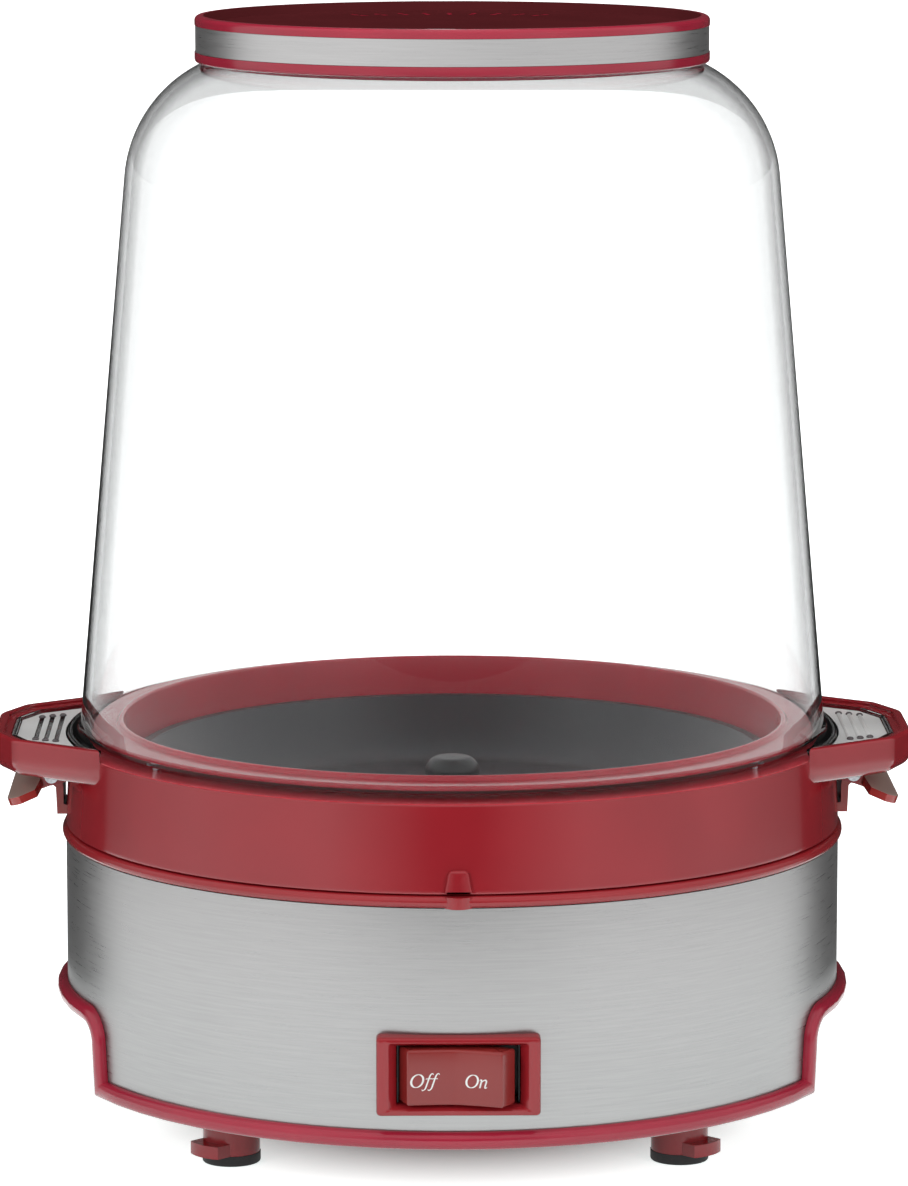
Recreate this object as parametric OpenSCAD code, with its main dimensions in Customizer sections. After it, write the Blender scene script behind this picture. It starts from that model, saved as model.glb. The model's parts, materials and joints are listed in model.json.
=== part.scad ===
// Domed popcorn maker: a round base with a heated plate and a stirrer, under a clear
// bowl that lifts off with its red collar and flips over to serve.
// Millimetres, +Z up, front towards -Y, origin on the table below the base's centre.

/* [Base] */
// Outer radius of the steel sleeve
drum_r = 132; // [122:1:145]
// Thickness of the steel sleeve
sleeve_wall = 0.8; // [0.6:0.1:1.2]
// Height of the base's underside above the table
base_lift = 18.3; // [14:0.1:24]
// Height from the base's underside to the bead ring
drum_h = 79.2; // [70:0.1:90]
// Height of the bottom rim's rounded section
rim_h = 5.8; // [4.5:0.1:7.5]
// How far the bottom rim stands out of the sleeve
rim_proud = 3.5; // [2.5:0.1:4.5]
// Wall of the moulded base
tray_wall = 2.2; // [1.8:0.1:3]
// Thickness of the moulded floor
floor_t = 2.4; // [2:0.1:3.5]

/* [Side arches] */
// Half width of a side arch, to the middle of its rim
arch_half = 59.4; // [50:0.1:66]
// Height of a side arch's crown above the base's underside
arch_crown = 26.8; // [20:0.1:34]
// Corner radius of a side arch
arch_corner = 9; // [6:0.5:13]
// How far each finger recess goes in from the sleeve
recess_deep = 22; // [17:1:26]

/* [Feet] */
// Distance of each foot from the middle, along X and Y
foot_at = 74.5; // [66:0.5:82]
// Radius of a foot post
foot_r = 9.5; // [8:0.1:11]
// Thickness of a rubber foot pad
pad_h = 3.6; // [2.5:0.1:5]
// Length of a cord tab, out from its post
tab_out = 4.6; // [3:0.1:7]
// Thickness of a cord tab
tab_h = 4.2; // [3:0.1:5]

/* [Top ring] */
// Height of the bead round the top of the base
bead_h = 4; // [3:0.1:6]
// How far the bead stands out of the sleeve
bead_proud = 1.3; // [0.8:0.1:2.5]
// Height of the lip that centres the bowl
lip_h = 10.6; // [8:0.1:13]

/* [Collar] */
// Height of the collar's wall
collar_h = 29.2; // [26:0.1:36]
// Draft of the collar's wall, in from bottom to top
collar_draft = 1.3; // [0.5:0.1:2]
// Wall of the collar
collar_wall = 2.3; // [2:0.1:3]
// Width of the locating boss at the front
boss_w = 9.4; // [6:0.1:14]
// Height of the locating boss at the front
boss_h = 8; // [6:0.1:12]

/* [Handles] */
// How far a handle reaches out of the collar's top
handle_out = 24.7; // [20:0.1:34]
// Half width of a handle at its outer end, to its corner's centre
handle_end_half = 16; // [12:0.5:20]
// Corner radius of a handle's outer end
handle_corner = 11; // [8:0.5:14]
// Height of a handle
handle_h = 12.6; // [11:0.1:16]
// Top of a handle above the collar's top
handle_rise = 4; // [3:0.1:6]
// Width of the frame round a handle's inlay
frame_w = 5.6; // [4.5:0.1:7]

/* [Bowl] */
// Height of the whole object
total_h = 375.6; // [340:1:400]
// Wall of the clear bowl
bowl_wall = 2.6; // [2:0.1:3.5]
// Step from the collar's top edge in to the bowl's wall
bowl_step = 3.6; // [3:0.1:8]
// Taper of the bowl's wall, in degrees
bowl_taper = 5; // [3:0.1:6]
// Radius of the bowl's shoulder
shoulder_r = 45.8; // [40:0.1:50]
// Outside radius of the bowl's neck
neck_r = 80; // [76:0.5:81]
// Thickness of the bowl's flange
flange_t = 2.6; // [2:0.1:3]
// Ribs across each clear grip
grip_ribs = 3; // [2:1:3]
// Distance between the grip's ribs
rib_pitch = 4.95; // [4:0.05:5.2]

/* [Retaining ring] */
// Step from the collar's top edge in to the ring's upstand
ring_step = 16.5; // [15:0.1:20]
// Top of the upstand above the collar
ring_rise = 6.2; // [5:0.1:9]
// Wall of the ring
ring_wall = 2; // [1.6:0.1:2.6]

/* [Lid] */
// How far the lid stands out of the bowl's neck
lid_lap = 6.5; // [5:0.1:9]
// Height of the lid above the bowl's shoulder
lid_h = 15.5; // [13:0.1:20]
// Height of the steel band
band_h = 8.9; // [6:0.1:9]
// Height of the lid's lower ring
lid_ring_h = 3.4; // [2.5:0.1:4]
// Depth of the lid's plug in the neck
plug_h = 12; // [8:0.5:16]

/* [Release levers] */
// Half length of a lever's paddle
paddle_half = 33; // [24:1:36]
// How far a paddle reaches out from its pin
paddle_out = 14.3; // [11:0.1:16]
// Droop of a paddle, in degrees
paddle_droop = 20; // [12:1:24]
// Thickness of a paddle
paddle_t = 2.6; // [2:0.1:3.2]
// Radius of the lever's pin
pin_r = 1.5; // [1.2:0.1:1.8]

/* [Plate and stirrer] */
// Height of the plate's flat above the sleeve's top
plate_up = 6.5; // [4:0.1:9]
// Radius of the plate's flat
plate_flat_r = 80; // [74:1:84]
// Thickness of the plate
plate_t = 1.8; // [1.5:0.1:2.5]
// Depth of the plate's dish
dish_h = 20; // [16:0.5:22]
// Diameter of the stirring wire
wire_d = 3.2; // [2.5:0.1:4]
// Radius of the stub shaft
stub_r = 4; // [3.5:0.1:5]
// Radius of the stirring hub
hub_r = 9; // [8:0.1:12]

/* [Heater and motor] */
// Depth of the heat well below the bead ring
well_h = 28; // [25:0.5:32]
// Radius of the heating element's ring
element_r = 68; // [58:1:70]
// Diameter of the heating element's tube
element_d = 7; // [6:0.1:8]
// Radius of the motor's can
motor_r = 25; // [22:0.5:28]
// Height of the motor's can
motor_h = 17; // [14:0.5:20]
// Height of the gear case
gear_h = 11; // [9:0.5:13]

/* [Switch] */
// Width of the switch's bezel
bezel_w = 53; // [48:0.5:60]
// Height of the switch's bezel
bezel_h = 26; // [23:0.5:30]
// Width of the opening in the bezel
window_w = 40; // [34:0.5:42]
// Height of the opening in the bezel
window_h = 19.4; // [16:0.2:20]
// Height of the switch's middle above the table
switch_z = 43; // [38:0.5:52]
// How far the bezel stands out of the sleeve
bezel_proud = 4.2; // [3:0.1:6]
// Tilt of the rocker each way, in degrees
rocker_tilt = 6.5; // [4:0.5:8]

/* [Fits] */
// Gap between pieces that lift apart
lift_gap = 0.4; // [0.3:0.05:0.6]
// Gap round a piece that slides into another
slip_gap = 0.5; // [0.35:0.05:0.7]
// Gap round a shaft or pin that turns
turn_gap = 0.06; // [0.03:0.01:0.09]
// Gap between moulded pieces that are fixed together
seat_gap = 0.12; // [0.05:0.01:0.15]

/* [Hidden] */
$fn = 96;
sides = [-1, 1];
corners = [for (x = sides) for (y = sides) [x, y]];

// Heights above the table
rim_mid_z = base_lift + rim_h / 2;
floor_z = base_lift + rim_h / 2;
floor_top = floor_z + floor_t;
bead_z = base_lift + drum_h;
bead_top = bead_z + bead_h;
collar_z = bead_top + lift_gap;
collar_top = collar_z + collar_h;
lip_top = bead_top + lip_h;
handle_top = collar_top + handle_rise;
handle_z = handle_top - handle_h;
flange_z = collar_top;
flange_top = flange_z + flange_t;
ring_top = collar_top + ring_rise;
plate_top = bead_z + plate_up;
plate_z = plate_top - plate_t;
dish_top = plate_top + dish_h;
lid_z = total_h - lid_h;

// Radii from the middle
sleeve_in = drum_r - sleeve_wall;
rim_r = drum_r + rim_proud;
tray_out = sleeve_in - seat_gap / 2;
tray_in = tray_out - tray_wall;
collar_top_r = drum_r - collar_draft;
ring_r = collar_top_r - ring_step;
ring_in = ring_r - ring_wall;
plate_r = ring_in - 3;
collar_in = collar_top_r - collar_wall;
handle_reach = collar_top_r + handle_out;
bowl_foot_r = collar_top_r - bowl_step;
bowl_foot_in = bowl_foot_r - bowl_wall;
lid_r = neck_r + lid_lap;
lip_out = collar_in - slip_gap;
lip_wall = 2.4;
lip_in = lip_out - lip_wall;
well_r = lip_in - 7;
sheet = 1.2;

// Points of an arc from angle a to angle b, in steps
function arc(c, r, a, b, steps) =
    [for (i = [0 : steps]) c + r * [cos(a + (b - a) * i / steps), sin(a + (b - a) * i / steps)]];

// A straight round rod from p to q
module rod(p, q, r) {
    d = q - p;
    translate(p)
        rotate([0, acos(d.z / norm(d)), atan2(d.y, d.x)])
            cylinder(h = norm(d), r = r);
}

function unit(v) = v / norm(v);

// The points with each inner corner rounded off, bend from its corner along both legs
function rounded_path(points, bend, steps = 5) = concat(
    [points[0]],
    [for (i = [1 : len(points) - 2])
        let (here = points[i])
        let (near = here + bend * unit(points[i - 1] - here))
        let (far = here + bend * unit(points[i + 1] - here))
        for (k = [0 : steps])
            let (t = k / steps)
                (1 - t) * (1 - t) * near + 2 * t * (1 - t) * here + t * t * far],
    [points[len(points) - 1]]);

// The direction of a path at point i
function heading(path, i) =
    unit(path[min(i + 1, len(path) - 1)] - path[max(i - 1, 0)]);

// A round wire of radius r along a path, with closed ends
module swept_wire(path, r, facets = 12) {
    last = len(path) - 1;
    // Side directions, each the one before made square to the new heading
    first_side = unit(cross(heading(path, 0), [0.31, 0.17, 0.93]));
    ups = [for (i = 0, side = first_side; i <= last;
        i = i + 1,
        side = i > last ? side : unit(side - (side * heading(path, i)) * heading(path, i))) side];
    points3 = [for (i = [0 : last]) for (k = [0 : facets - 1])
        let (a = 360 * k / facets)
            path[i] + r * (cos(a) * ups[i] + sin(a) * cross(heading(path, i), ups[i]))];
    faces = concat(
        [for (i = [0 : last - 1]) for (k = [0 : facets - 1])
            let (a = i * facets, b = a + facets, m = (k + 1) % facets)
                each [[a + k, b + m, a + m], [a + k, b + k, b + m]]],
        [[for (k = [0 : facets - 1]) k]],
        [[for (k = [facets - 1 : -1 : 0]) last * facets + k]]);
    polyhedron(points3, faces, convexity = 6);
}

// A round wire through the points, with its corners rounded off
module bent_wire(points, r, bend, facets = 12) {
    swept_wire(rounded_path(points, bend), r, facets);
}

// A tube, standing on z = 0
module tube(outer, inner, h) {
    difference() {
        cylinder(h = h, r = outer);
        translate([0, 0, -1])
            cylinder(h = h + 2, r = inner);
    }
}

// A block with round upright corners, centred, standing on z = 0
module rounded_block(size, r) {
    w = size.x / 2;
    d = size.y / 2;
    linear_extrude(size.z)
        polygon(concat(
            arc([w - r, d - r], r, 0, 90, 6),
            arc([r - w, d - r], r, 90, 180, 6),
            arc([r - w, r - d], r, 180, 270, 6),
            arc([w - r, r - d], r, 270, 360, 6)));
}

// Copies at even turns round the axis
module around(count, first = 0) {
    for (i = [0 : count - 1])
        rotate(first + i * 360 / count)
            children();
}

// Copies at the turns given
module at_turns(turns) {
    for (turn = turns)
        rotate(turn)
            children();
}

// ---- Bottom rim and side arches ----

// Half of an arch's centre line, from its foot to the crown, as [across, height]
foot_flare = 1.6;
arch_line = concat(
    [[arch_half + foot_flare, rim_h / 2], [arch_half + foot_flare / 2, arch_crown * 0.35]],
    arc([arch_half - arch_corner, arch_crown - arch_corner], arch_corner, 0, 90, 8));

// Whole outline of an arch's opening, grown outwards by g
function arch_outline(g) = concat(
    [[arch_half + foot_flare + g, -base_lift]],
    [for (p = arch_line) p + g * [p.x > arch_half - arch_corner ? 1 : 0, p.y > arch_crown - 1 ? 1 : 0]],
    [for (i = [len(arch_line) - 1 : -1 : 0])
        let (p = arch_line[i])
            [-p.x, p.y] + g * [p.x > arch_half - arch_corner ? -1 : 0, p.y > arch_crown - 1 ? 1 : 0]],
    [[-arch_half - foot_flare - g, -base_lift]]);

// The two arches as one block across the base, from x0 out on each side
module arch_cut(g, x0) {
    for (s = sides)
        translate([s * (x0 + rim_r) / 2, 0, base_lift])
            rotate([90, 0, 90])
                linear_extrude(rim_r - x0 + 20, center = true)
                    polygon(arch_outline(g));
}

// Centre line of the whole rim, as [angle, height]: a run along the bottom and a step over each arch
path_r = drum_r - 0.6;
function on_drum(across) = asin(across / path_r);
foot_angle = on_drum(arch_line[0].x);
run_steps = 22;
crown_steps = 8;
crown_half = arch_half - arch_corner;
arch_path = concat(
    [for (p = arch_line) [-on_drum(p.x), p.y]],
    [for (i = [1 : crown_steps - 1]) [on_drum(crown_half * (2 * i / crown_steps - 1)), arch_crown]],
    [for (i = [len(arch_line) - 1 : -1 : 0]) [on_drum(arch_line[i].x), arch_line[i].y]]);
run_path = [for (i = [1 : run_steps - 1])
    [foot_angle + (180 - 2 * foot_angle) * i / run_steps, rim_h / 2]];
half_path = concat(arch_path, run_path);
rim_path = concat(half_path, [for (p = half_path) [p[0] + 180, p[1]]]);

// Rounded section of the rim, as [out, across]
rim_in = path_r - tray_in - tray_wall / 2;
rim_out = rim_r - path_r;
rim_section = concat(
    [[-rim_in, -rim_h / 2]],
    arc([rim_out - rim_h * 0.42, -rim_h * 0.08], rim_h * 0.42, -90, 0, 4),
    arc([rim_out - rim_h * 0.42, rim_h * 0.08], rim_h * 0.42, 0, 90, 4),
    [[-rim_in, rim_h / 2]]);

function drum_point(p) = [path_r * cos(p[0]), path_r * sin(p[0]), base_lift + p[1]];
// Mitred ring of the rim's section at place i of its path
function rim_ring(i) =
    let (n = len(rim_path))
    let (here = rim_path[i])
    let (before = unit(drum_point(here) - drum_point(rim_path[(i + n - 1) % n])))
    let (after = unit(drum_point(rim_path[(i + 1) % n]) - drum_point(here)))
    let (out = [cos(here[0]), sin(here[0]), 0])
    let (across = unit(cross(out, unit(before + after))))
    let (stretch = 1 / max(0.72, sqrt((1 + before * after) / 2)))
    [for (s = rim_section) drum_point(here) + s.x * out + s.y * stretch * across];

module rim_sweep() {
    n = len(rim_path);
    m = len(rim_section);
    points = [for (i = [0 : n - 1]) each rim_ring(i)];
    faces = [for (i = [0 : n - 1]) for (j = [0 : m - 1])
        let (a = i * m, b = ((i + 1) % n) * m, k = (j + 1) % m)
            each [[a + j, a + k, b + k], [a + j, b + k, b + j]]];
    polyhedron(points, faces, convexity = 10);
}

// The steel sleeve's band, grown by g for the groove that holds it
module sleeve_band(g) {
    difference() {
        translate([0, 0, rim_mid_z - g])
            tube(drum_r + g, sleeve_in - g, bead_z - rim_mid_z - seat_gap + 2 * g);
        arch_cut(-g, drum_r - 60);
    }
}

module base_tray() {
    boss_r = 4.2;
    recess_x = drum_r - recess_deep;
    recess_shell = tray_wall + 0.2;
    color([0.62, 0.12, 0.17])
        difference() {
            union() {
                rim_sweep();
                // Floor and side wall
                translate([0, 0, floor_z])
                    cylinder(h = floor_t, r = tray_in + 0.6);
                translate([0, 0, floor_z])
                    tube(tray_out, tray_in, bead_z - floor_z - seat_gap);
                // Walls of the finger recesses
                intersection() {
                    arch_cut(recess_shell, recess_x - recess_shell);
                    translate([0, 0, floor_z])
                        cylinder(h = drum_h, r = tray_out);
                }
                // Foot posts with their cord tabs
                for (c = corners)
                    translate([c.x * foot_at, c.y * foot_at, pad_h])
                        rotate(atan2(c.y, c.x))
                            foot_post();
                // Bosses for the top ring's screws
                around(4, 45)
                    translate([ring_screw_r, 0, floor_z])
                        cylinder(h = bead_z - floor_z - seat_gap, r = boss_r);
                // Bosses for the motor's bracket
                for (c = corners)
                    translate([c.x * bracket_x, c.y * bracket_y, floor_z])
                        cylinder(h = bracket_z - floor_z, r = boss_r);
            }
            sleeve_band(seat_gap);
            arch_cut(-rim_h / 2, recess_x);
            // Screw holes of the bosses
            around(4, 45)
                translate([ring_screw_r, 0, floor_top])
                    cylinder(h = drum_h, r = thread_r, $fn = 32);
            for (c = corners)
                translate([c.x * bracket_x, c.y * bracket_y, floor_top])
                    cylinder(h = drum_h, r = thread_r, $fn = 32);
            // Air slots in the floor, in two fans
            for (turn = [0, 180], row = [0 : 2])
                rotate(turn)
                    for (k = [-3 : 3])
                        rotate(90 + k * 9)
                            translate([30 + row * 16, 0, base_lift - 1])
                                rounded_slot(9, 3, rim_h + floor_t);
            // Holes for the switch's bezel and the cord's gland
            switch_hole(window_w + 5, window_h + 3);
            gland_hole(gland_r + seat_gap);
        }
}

// A slot along X, centred, with round ends
module rounded_slot(length, width, h) {
    for (s = sides)
        translate([s * (length - width) / 2, 0, 0])
            cylinder(h = h, d = width, $fn = 24);
    translate([(width - length) / 2, -width / 2, 0])
        cube([length - width, width, h]);
}

// One post, out along +X, on the pad's top
module foot_post() {
    tab_w = 13;
    post_h = floor_z - pad_h + 1;
    cylinder(h = post_h, r = foot_r);
    // Collar round the post's root
    translate([0, 0, base_lift - pad_h - 1.5])
        cylinder(h = 1.5 + rim_h / 2, r1 = foot_r, r2 = foot_r + 1.5);
    intersection() {
        cylinder(h = tab_h, r = foot_r + tab_out);
        translate([0, -tab_w / 2, 0])
            cube([foot_r + tab_out, tab_w, tab_h]);
    }
}

module foot_pad(c) {
    soft = 0.8;
    color([0.07, 0.07, 0.08])
        translate([c.x * foot_at, c.y * foot_at, 0])
            rotate_extrude()
                polygon(concat(
                    [[0, 0]],
                    arc([foot_r - soft + 0.2, soft], soft, -90, 0, 3),
                    [[foot_r + 0.2, pad_h], [0, pad_h]]));
}

module drum_sleeve() {
    color([0.74, 0.74, 0.75])
        difference() {
            sleeve_band(0);
            switch_hole(window_w + 5, window_h + 3);
            gland_hole(gland_r + seat_gap);
        }
}

// ---- Top ring ----

ring_screw_r = lip_in - 4;
ledge_t = 2.4;
well_screw_r = well_r + 2.6;
well_rim_r = lip_in - 0.8;
boss_half = boss_w / 2;
hook_z = collar_z + 2.8;
hook_h = 3.4;
hook_half = 9;
hook_top = hook_z + hook_h;

// A rounded tongue on the front of the wall, from z0 up, tapering by draft
module front_boss(w, h, r, z0, out) {
    translate([0, 1 - r, z0])
        rotate([90, 0, 0])
            linear_extrude(out + 1)
                polygon(concat(
                    [[-w / 2, 0], [w / 2, 0]],
                    arc([w * 0.36 - 1.6, h - 1.6], 1.6, 10, 90, 5),
                    arc([1.6 - w * 0.36, h - 1.6], 1.6, 90, 170, 5)));
}

module top_ring() {
    bead_r = drum_r + bead_proud;
    color([0.60, 0.11, 0.16])
        difference() {
            union() {
                rotate_extrude()
                    polygon(concat(
                        [[well_r - 1, bead_z], [drum_r - 0.4, bead_z]],
                        arc([bead_r - bead_h / 2, bead_z + bead_h / 2], bead_h / 2, -70, 70, 8),
                        [[lip_out, bead_top], [lip_out, lip_top - 1], [lip_out - 1, lip_top],
                            [lip_in, lip_top], [lip_in, bead_z + ledge_t],
                            [well_r - 1, bead_z + ledge_t]]));
                // Bulge under the collar's boss
                translate([0, 0, bead_z])
                    intersection() {
                        translate([0, -bead_r + 3.6, 0])
                            cylinder(h = bead_h - 0.2, r = boss_half + 0.3, $fn = 48);
                        translate([-boss_w, -bead_r - 1.4, -0.1])
                            cube([2 * boss_w, 8, bead_h + 1]);
                    }
            }
            // Screw holes in the ledge
            around(4, 45)
                translate([ring_screw_r, 0, bead_z - 1])
                    cylinder(h = ledge_t + 2, r = through_r, $fn = 32);
            around(4)
                translate([well_screw_r, 0, bead_z - 1])
                    cylinder(h = ledge_t + 2, r = thread_r, $fn = 32);
            // Catches that the levers' hooks snap into
            for (s = sides)
                translate([s * (lip_out + lip_in) / 2, 0, hook_z + hook_h / 2])
                    cube([2 * lip_wall + 2, 2 * hook_half + 2, hook_h + 1.2], center = true);
            // Ventilation notches in the lip
            around(12, 15)
                translate([lip_in - 2, -4, lip_top - 3])
                    cube([lip_wall + 4, 8, 4]);
        }
}

screw_r = 1.3;
thread_r = screw_r + 0.05;
through_r = screw_r + 0.5;

// A pan-head screw with its head on height z, above it when up is 1, below when -1
module screw(z, length, up, head_r = 3) {
    head_h = 1.6;
    translate([0, 0, z])
        mirror([0, 0, up > 0 ? 0 : 1]) {
            difference() {
                rotate_extrude($fn = 32)
                    polygon([[0, 0], [head_r, 0], [head_r, head_h * 0.5], [head_r * 0.7, head_h],
                        [0, head_h]]);
                for (a = [0, 90])
                    rotate(a)
                        translate([-1.5, -0.3, head_h - 0.8])
                            cube([3, 0.6, 1]);
            }
            translate([0, 0, -length])
                cylinder(h = length + 0.1, r = screw_r, $fn = 24);
        }
}

module base_screws() {
    color([0.62, 0.62, 0.64])
        around(4, 45)
            translate([ring_screw_r, 0, 0])
                screw(bead_z + ledge_t + sheet, 12 + sheet, 1);
}

// ---- Heater ----

well_floor = bead_z - well_h;

module heat_well() {
    well_in = well_r - 2 - sheet;
    leg_gap = 1.6;
    vent_r = 2.4;
    color([0.66, 0.66, 0.66])
        difference() {
            rotate_extrude()
                polygon([[shaft_sleeve_r + 1, well_floor], [well_in - 2, well_floor],
                    [well_in, well_floor + 2], [well_in, bead_z + ledge_t + sheet],
                    [well_rim_r, bead_z + ledge_t + sheet], [well_rim_r, bead_z + ledge_t],
                    [well_in + sheet, bead_z + ledge_t], [well_in + sheet, well_floor + 1.6],
                    [well_in - 1.6, well_floor - sheet], [shaft_sleeve_r + 1, well_floor - sheet]]);
            around(4, 45)
                translate([ring_screw_r, 0, bead_z])
                    cylinder(h = 10, r = through_r, $fn = 32);
            around(4)
                translate([well_screw_r, 0, bead_z])
                    cylinder(h = 10, r = thread_r, $fn = 32);
            around(12)
                translate([well_r - 18, 0, well_floor - 5])
                    cylinder(h = 10, r = vent_r, $fn = 24);
            for (s = sides)
                translate([element_leg_x, s * element_leg_y, well_floor - 5])
                    cylinder(h = 10, r = element_d / 2 + leg_gap, $fn = 32);
        }
}

module well_screws() {
    color([0.6, 0.6, 0.62])
        around(4)
            translate([well_screw_r, 0, 0])
                screw(bead_z + ledge_t + sheet, ledge_t + sheet, 1, 2.2);
}

element_z = plate_z - element_d / 2 - 0.1;
// Half the angle left open between the tube's two ends, and the bend down at each
element_gap = 13;
element_knee = 9;
element_leg_x = -element_r * cos(element_gap) - element_knee * sin(element_gap);
element_leg_y = element_r * sin(element_gap) - element_knee * cos(element_gap);
leg_foot = well_floor - 9;

// Quarter bend from the element's ring down into a leg, on side s, as [out, along, height]
function knee_path(s) = [for (i = [0 : 5])
    let (a = 18 * i, along = element_knee * sin(a))
        [-element_r * cos(element_gap) - along * sin(element_gap),
            s * (element_r * sin(element_gap) - along * cos(element_gap)),
            element_z - element_knee * (1 - cos(a))]];

// A tube bent round under the plate, with both ends turned down through the well
module heating_element() {
    steps = 54;
    sweep = 360 - 2 * element_gap;
    ring = [for (i = [1 : steps - 1])
        let (a = 180 + element_gap + sweep * i / steps)
            [element_r * cos(a), element_r * sin(a), element_z]];
    front = knee_path(-1);
    back = knee_path(1);
    color([0.30, 0.29, 0.28])
        swept_wire(concat(
            [[element_leg_x, -element_leg_y, leg_foot]],
            [for (i = [5 : -1 : 0]) front[i]], ring, back,
            [[element_leg_x, element_leg_y, leg_foot]]), element_d / 2);
}

module element_terminals() {
    collar_len = 6;
    blade_len = 8;
    color([0.78, 0.76, 0.70])
        for (s = sides)
            translate([element_leg_x, s * element_leg_y, leg_foot - collar_len]) {
                cylinder(h = collar_len, r = 2.6, $fn = 32);
                translate([-0.4, -2.4, -blade_len])
                    cube([0.8, 4.8, blade_len + 0.2]);
            }
}

clamp_turns = [40, 140, 220, 320];

// A strap from the well's floor that cradles the element's tube
module element_clamps() {
    strap = 1;
    strap_w = 10;
    foot_long = 8;
    half = element_d / 2;
    side = half + 0.4;
    under = element_z - half - seat_gap;
    color([0.72, 0.72, 0.73])
        at_turns(clamp_turns)
            translate([element_r, strap_w / 2, 0])
                rotate([90, 0, 0])
                    linear_extrude(strap_w)
                        polygon([
                            [-half - strap - foot_long, well_floor],
                            [-side, well_floor], [-side, under - strap],
                            [side + strap, under - strap],
                            [side + strap, element_z], [side, element_z],
                            [side, under], [-side, under],
                            [-side, element_z], [-side - strap, element_z],
                            [-side - strap, well_floor + strap],
                            [-half - strap - foot_long, well_floor + strap]]);
}

module plate_posts() {
    post_r = 3.2;
    color([0.7, 0.7, 0.71])
        around(3, 90)
            translate([element_r - 20, 0, well_floor]) {
                cylinder(h = plate_z - lift_gap - well_floor, r = post_r, $fn = 32);
                cylinder(h = sheet, r = post_r + 3, $fn = 32);
            }
}

module thermostat() {
    color([0.80, 0.78, 0.72])
        rotate(55)
            translate([40, 0, 0]) {
                translate([0, 0, well_floor - sheet - 3.2])
                    cylinder(h = 3.1, r = 8.2, $fn = 48);
                translate([0, 0, well_floor - sheet - 9.2])
                    cylinder(h = 6, r = 7, $fn = 48);
                for (s = sides)
                    translate([-0.4, s * 4 - 1.6, well_floor - sheet - 15.2])
                        cube([0.8, 3.2, 6.2]);
            }
}

module thermal_fuse() {
    color([0.85, 0.84, 0.80])
        rotate(125)
            translate([44, 0, well_floor - sheet - 3.4]) {
                rotate([90, 0, 0])
                    cylinder(h = 13, r = 2.2, center = true, $fn = 32);
                rotate([90, 0, 0])
                    cylinder(h = 32, r = 0.6, center = true, $fn = 24);
                // Clip that holds it to the well
                difference() {
                    translate([-3.2, -2.5, -3.2])
                        cube([6.4, 5, 6.5]);
                    rotate([90, 0, 0])
                        cylinder(h = 8, r = 2.2, center = true, $fn = 32);
                }
            }
}

// ---- Motor and drive ----

shaft_r = 4;
shaft_sleeve_r = shaft_r + 2.6;
bracket_x = 40;
bracket_y = 24;
bracket_t = 1.5;
gear_top = well_floor - sheet - 12;
bracket_z = gear_top;
motor_top = gear_top - gear_h;
motor_z = motor_top - motor_h;

module motor_can() {
    color([0.56, 0.56, 0.57])
        difference() {
            translate([0, 0, motor_z])
                rotate_extrude()
                    polygon(concat(
                        [[0, 0]],
                        arc([motor_r - 2, 2], 2, -90, 0, 5),
                        [[motor_r, motor_h - 0.1], [0, motor_h - 0.1]]));
            around(8)
                translate([motor_r - 8, 0, motor_z - 1])
                    rounded_slot(7, 2.4, 2);
        }
}

module gear_case() {
    color([0.22, 0.22, 0.23])
        difference() {
            translate([0, 0, motor_top])
                rounded_block([2 * motor_r + 4, 2 * motor_r - 6, gear_h - 0.1], 8);
            translate([0, 0, motor_top + 3])
                cylinder(h = gear_h, r = shaft_r + turn_gap + 0.4);
        }
}

module motor_bracket() {
    color([0.68, 0.68, 0.69])
        difference() {
            translate([0, 0, bracket_z])
                union() {
                    rounded_block([2 * bracket_x + 14, 2 * motor_r - 14, bracket_t], 5);
                    for (s = sides)
                        translate([s * bracket_x, 0, 0])
                            rounded_block([14, 2 * bracket_y + 14, bracket_t], 6);
                }
            translate([0, 0, bracket_z - 1])
                cylinder(h = bracket_t + 2, r = shaft_sleeve_r + seat_gap);
            for (c = corners)
                translate([c.x * bracket_x, c.y * bracket_y, bracket_z - 1])
                    cylinder(h = bracket_t + 2, r = through_r, $fn = 32);
        }
}

module motor_screws() {
    color([0.62, 0.62, 0.64])
        for (c = corners)
            translate([c.x * bracket_x, c.y * bracket_y, 0])
                screw(bracket_z + bracket_t, 8, 1);
}

module shaft_bush() {
    flange_r = shaft_sleeve_r + 4;
    color([0.70, 0.58, 0.32])
        difference() {
            union() {
                translate([0, 0, bracket_z])
                    cylinder(h = well_floor - bracket_z + 8, r = shaft_sleeve_r);
                translate([0, 0, bracket_z + bracket_t + 0.1])
                    cylinder(h = 2, r = flange_r);
            }
            translate([0, 0, bracket_z - 1])
                cylinder(h = well_floor, r = shaft_r + turn_gap);
        }
}

dog_w = 2.6;
dog_h = 5;
stub_foot = plate_z - 11;
dog_r = 5.6;

module drive_shaft() {
    color([0.75, 0.75, 0.76]) {
        translate([0, 0, motor_top + 4])
            cylinder(h = stub_foot - motor_top - 4 - 0.6, r = shaft_r);
        translate([0, 0, stub_foot - 3.6])
            cylinder(h = 3, r = dog_r);
        translate([-dog_r + 0.6, -dog_w / 2, stub_foot - 0.7])
            cube([2 * dog_r - 1.2, dog_w, dog_h]);
    }
}

// ---- Plate, stub shaft and stirrer ----

bush_r = stub_r + 3;

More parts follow.
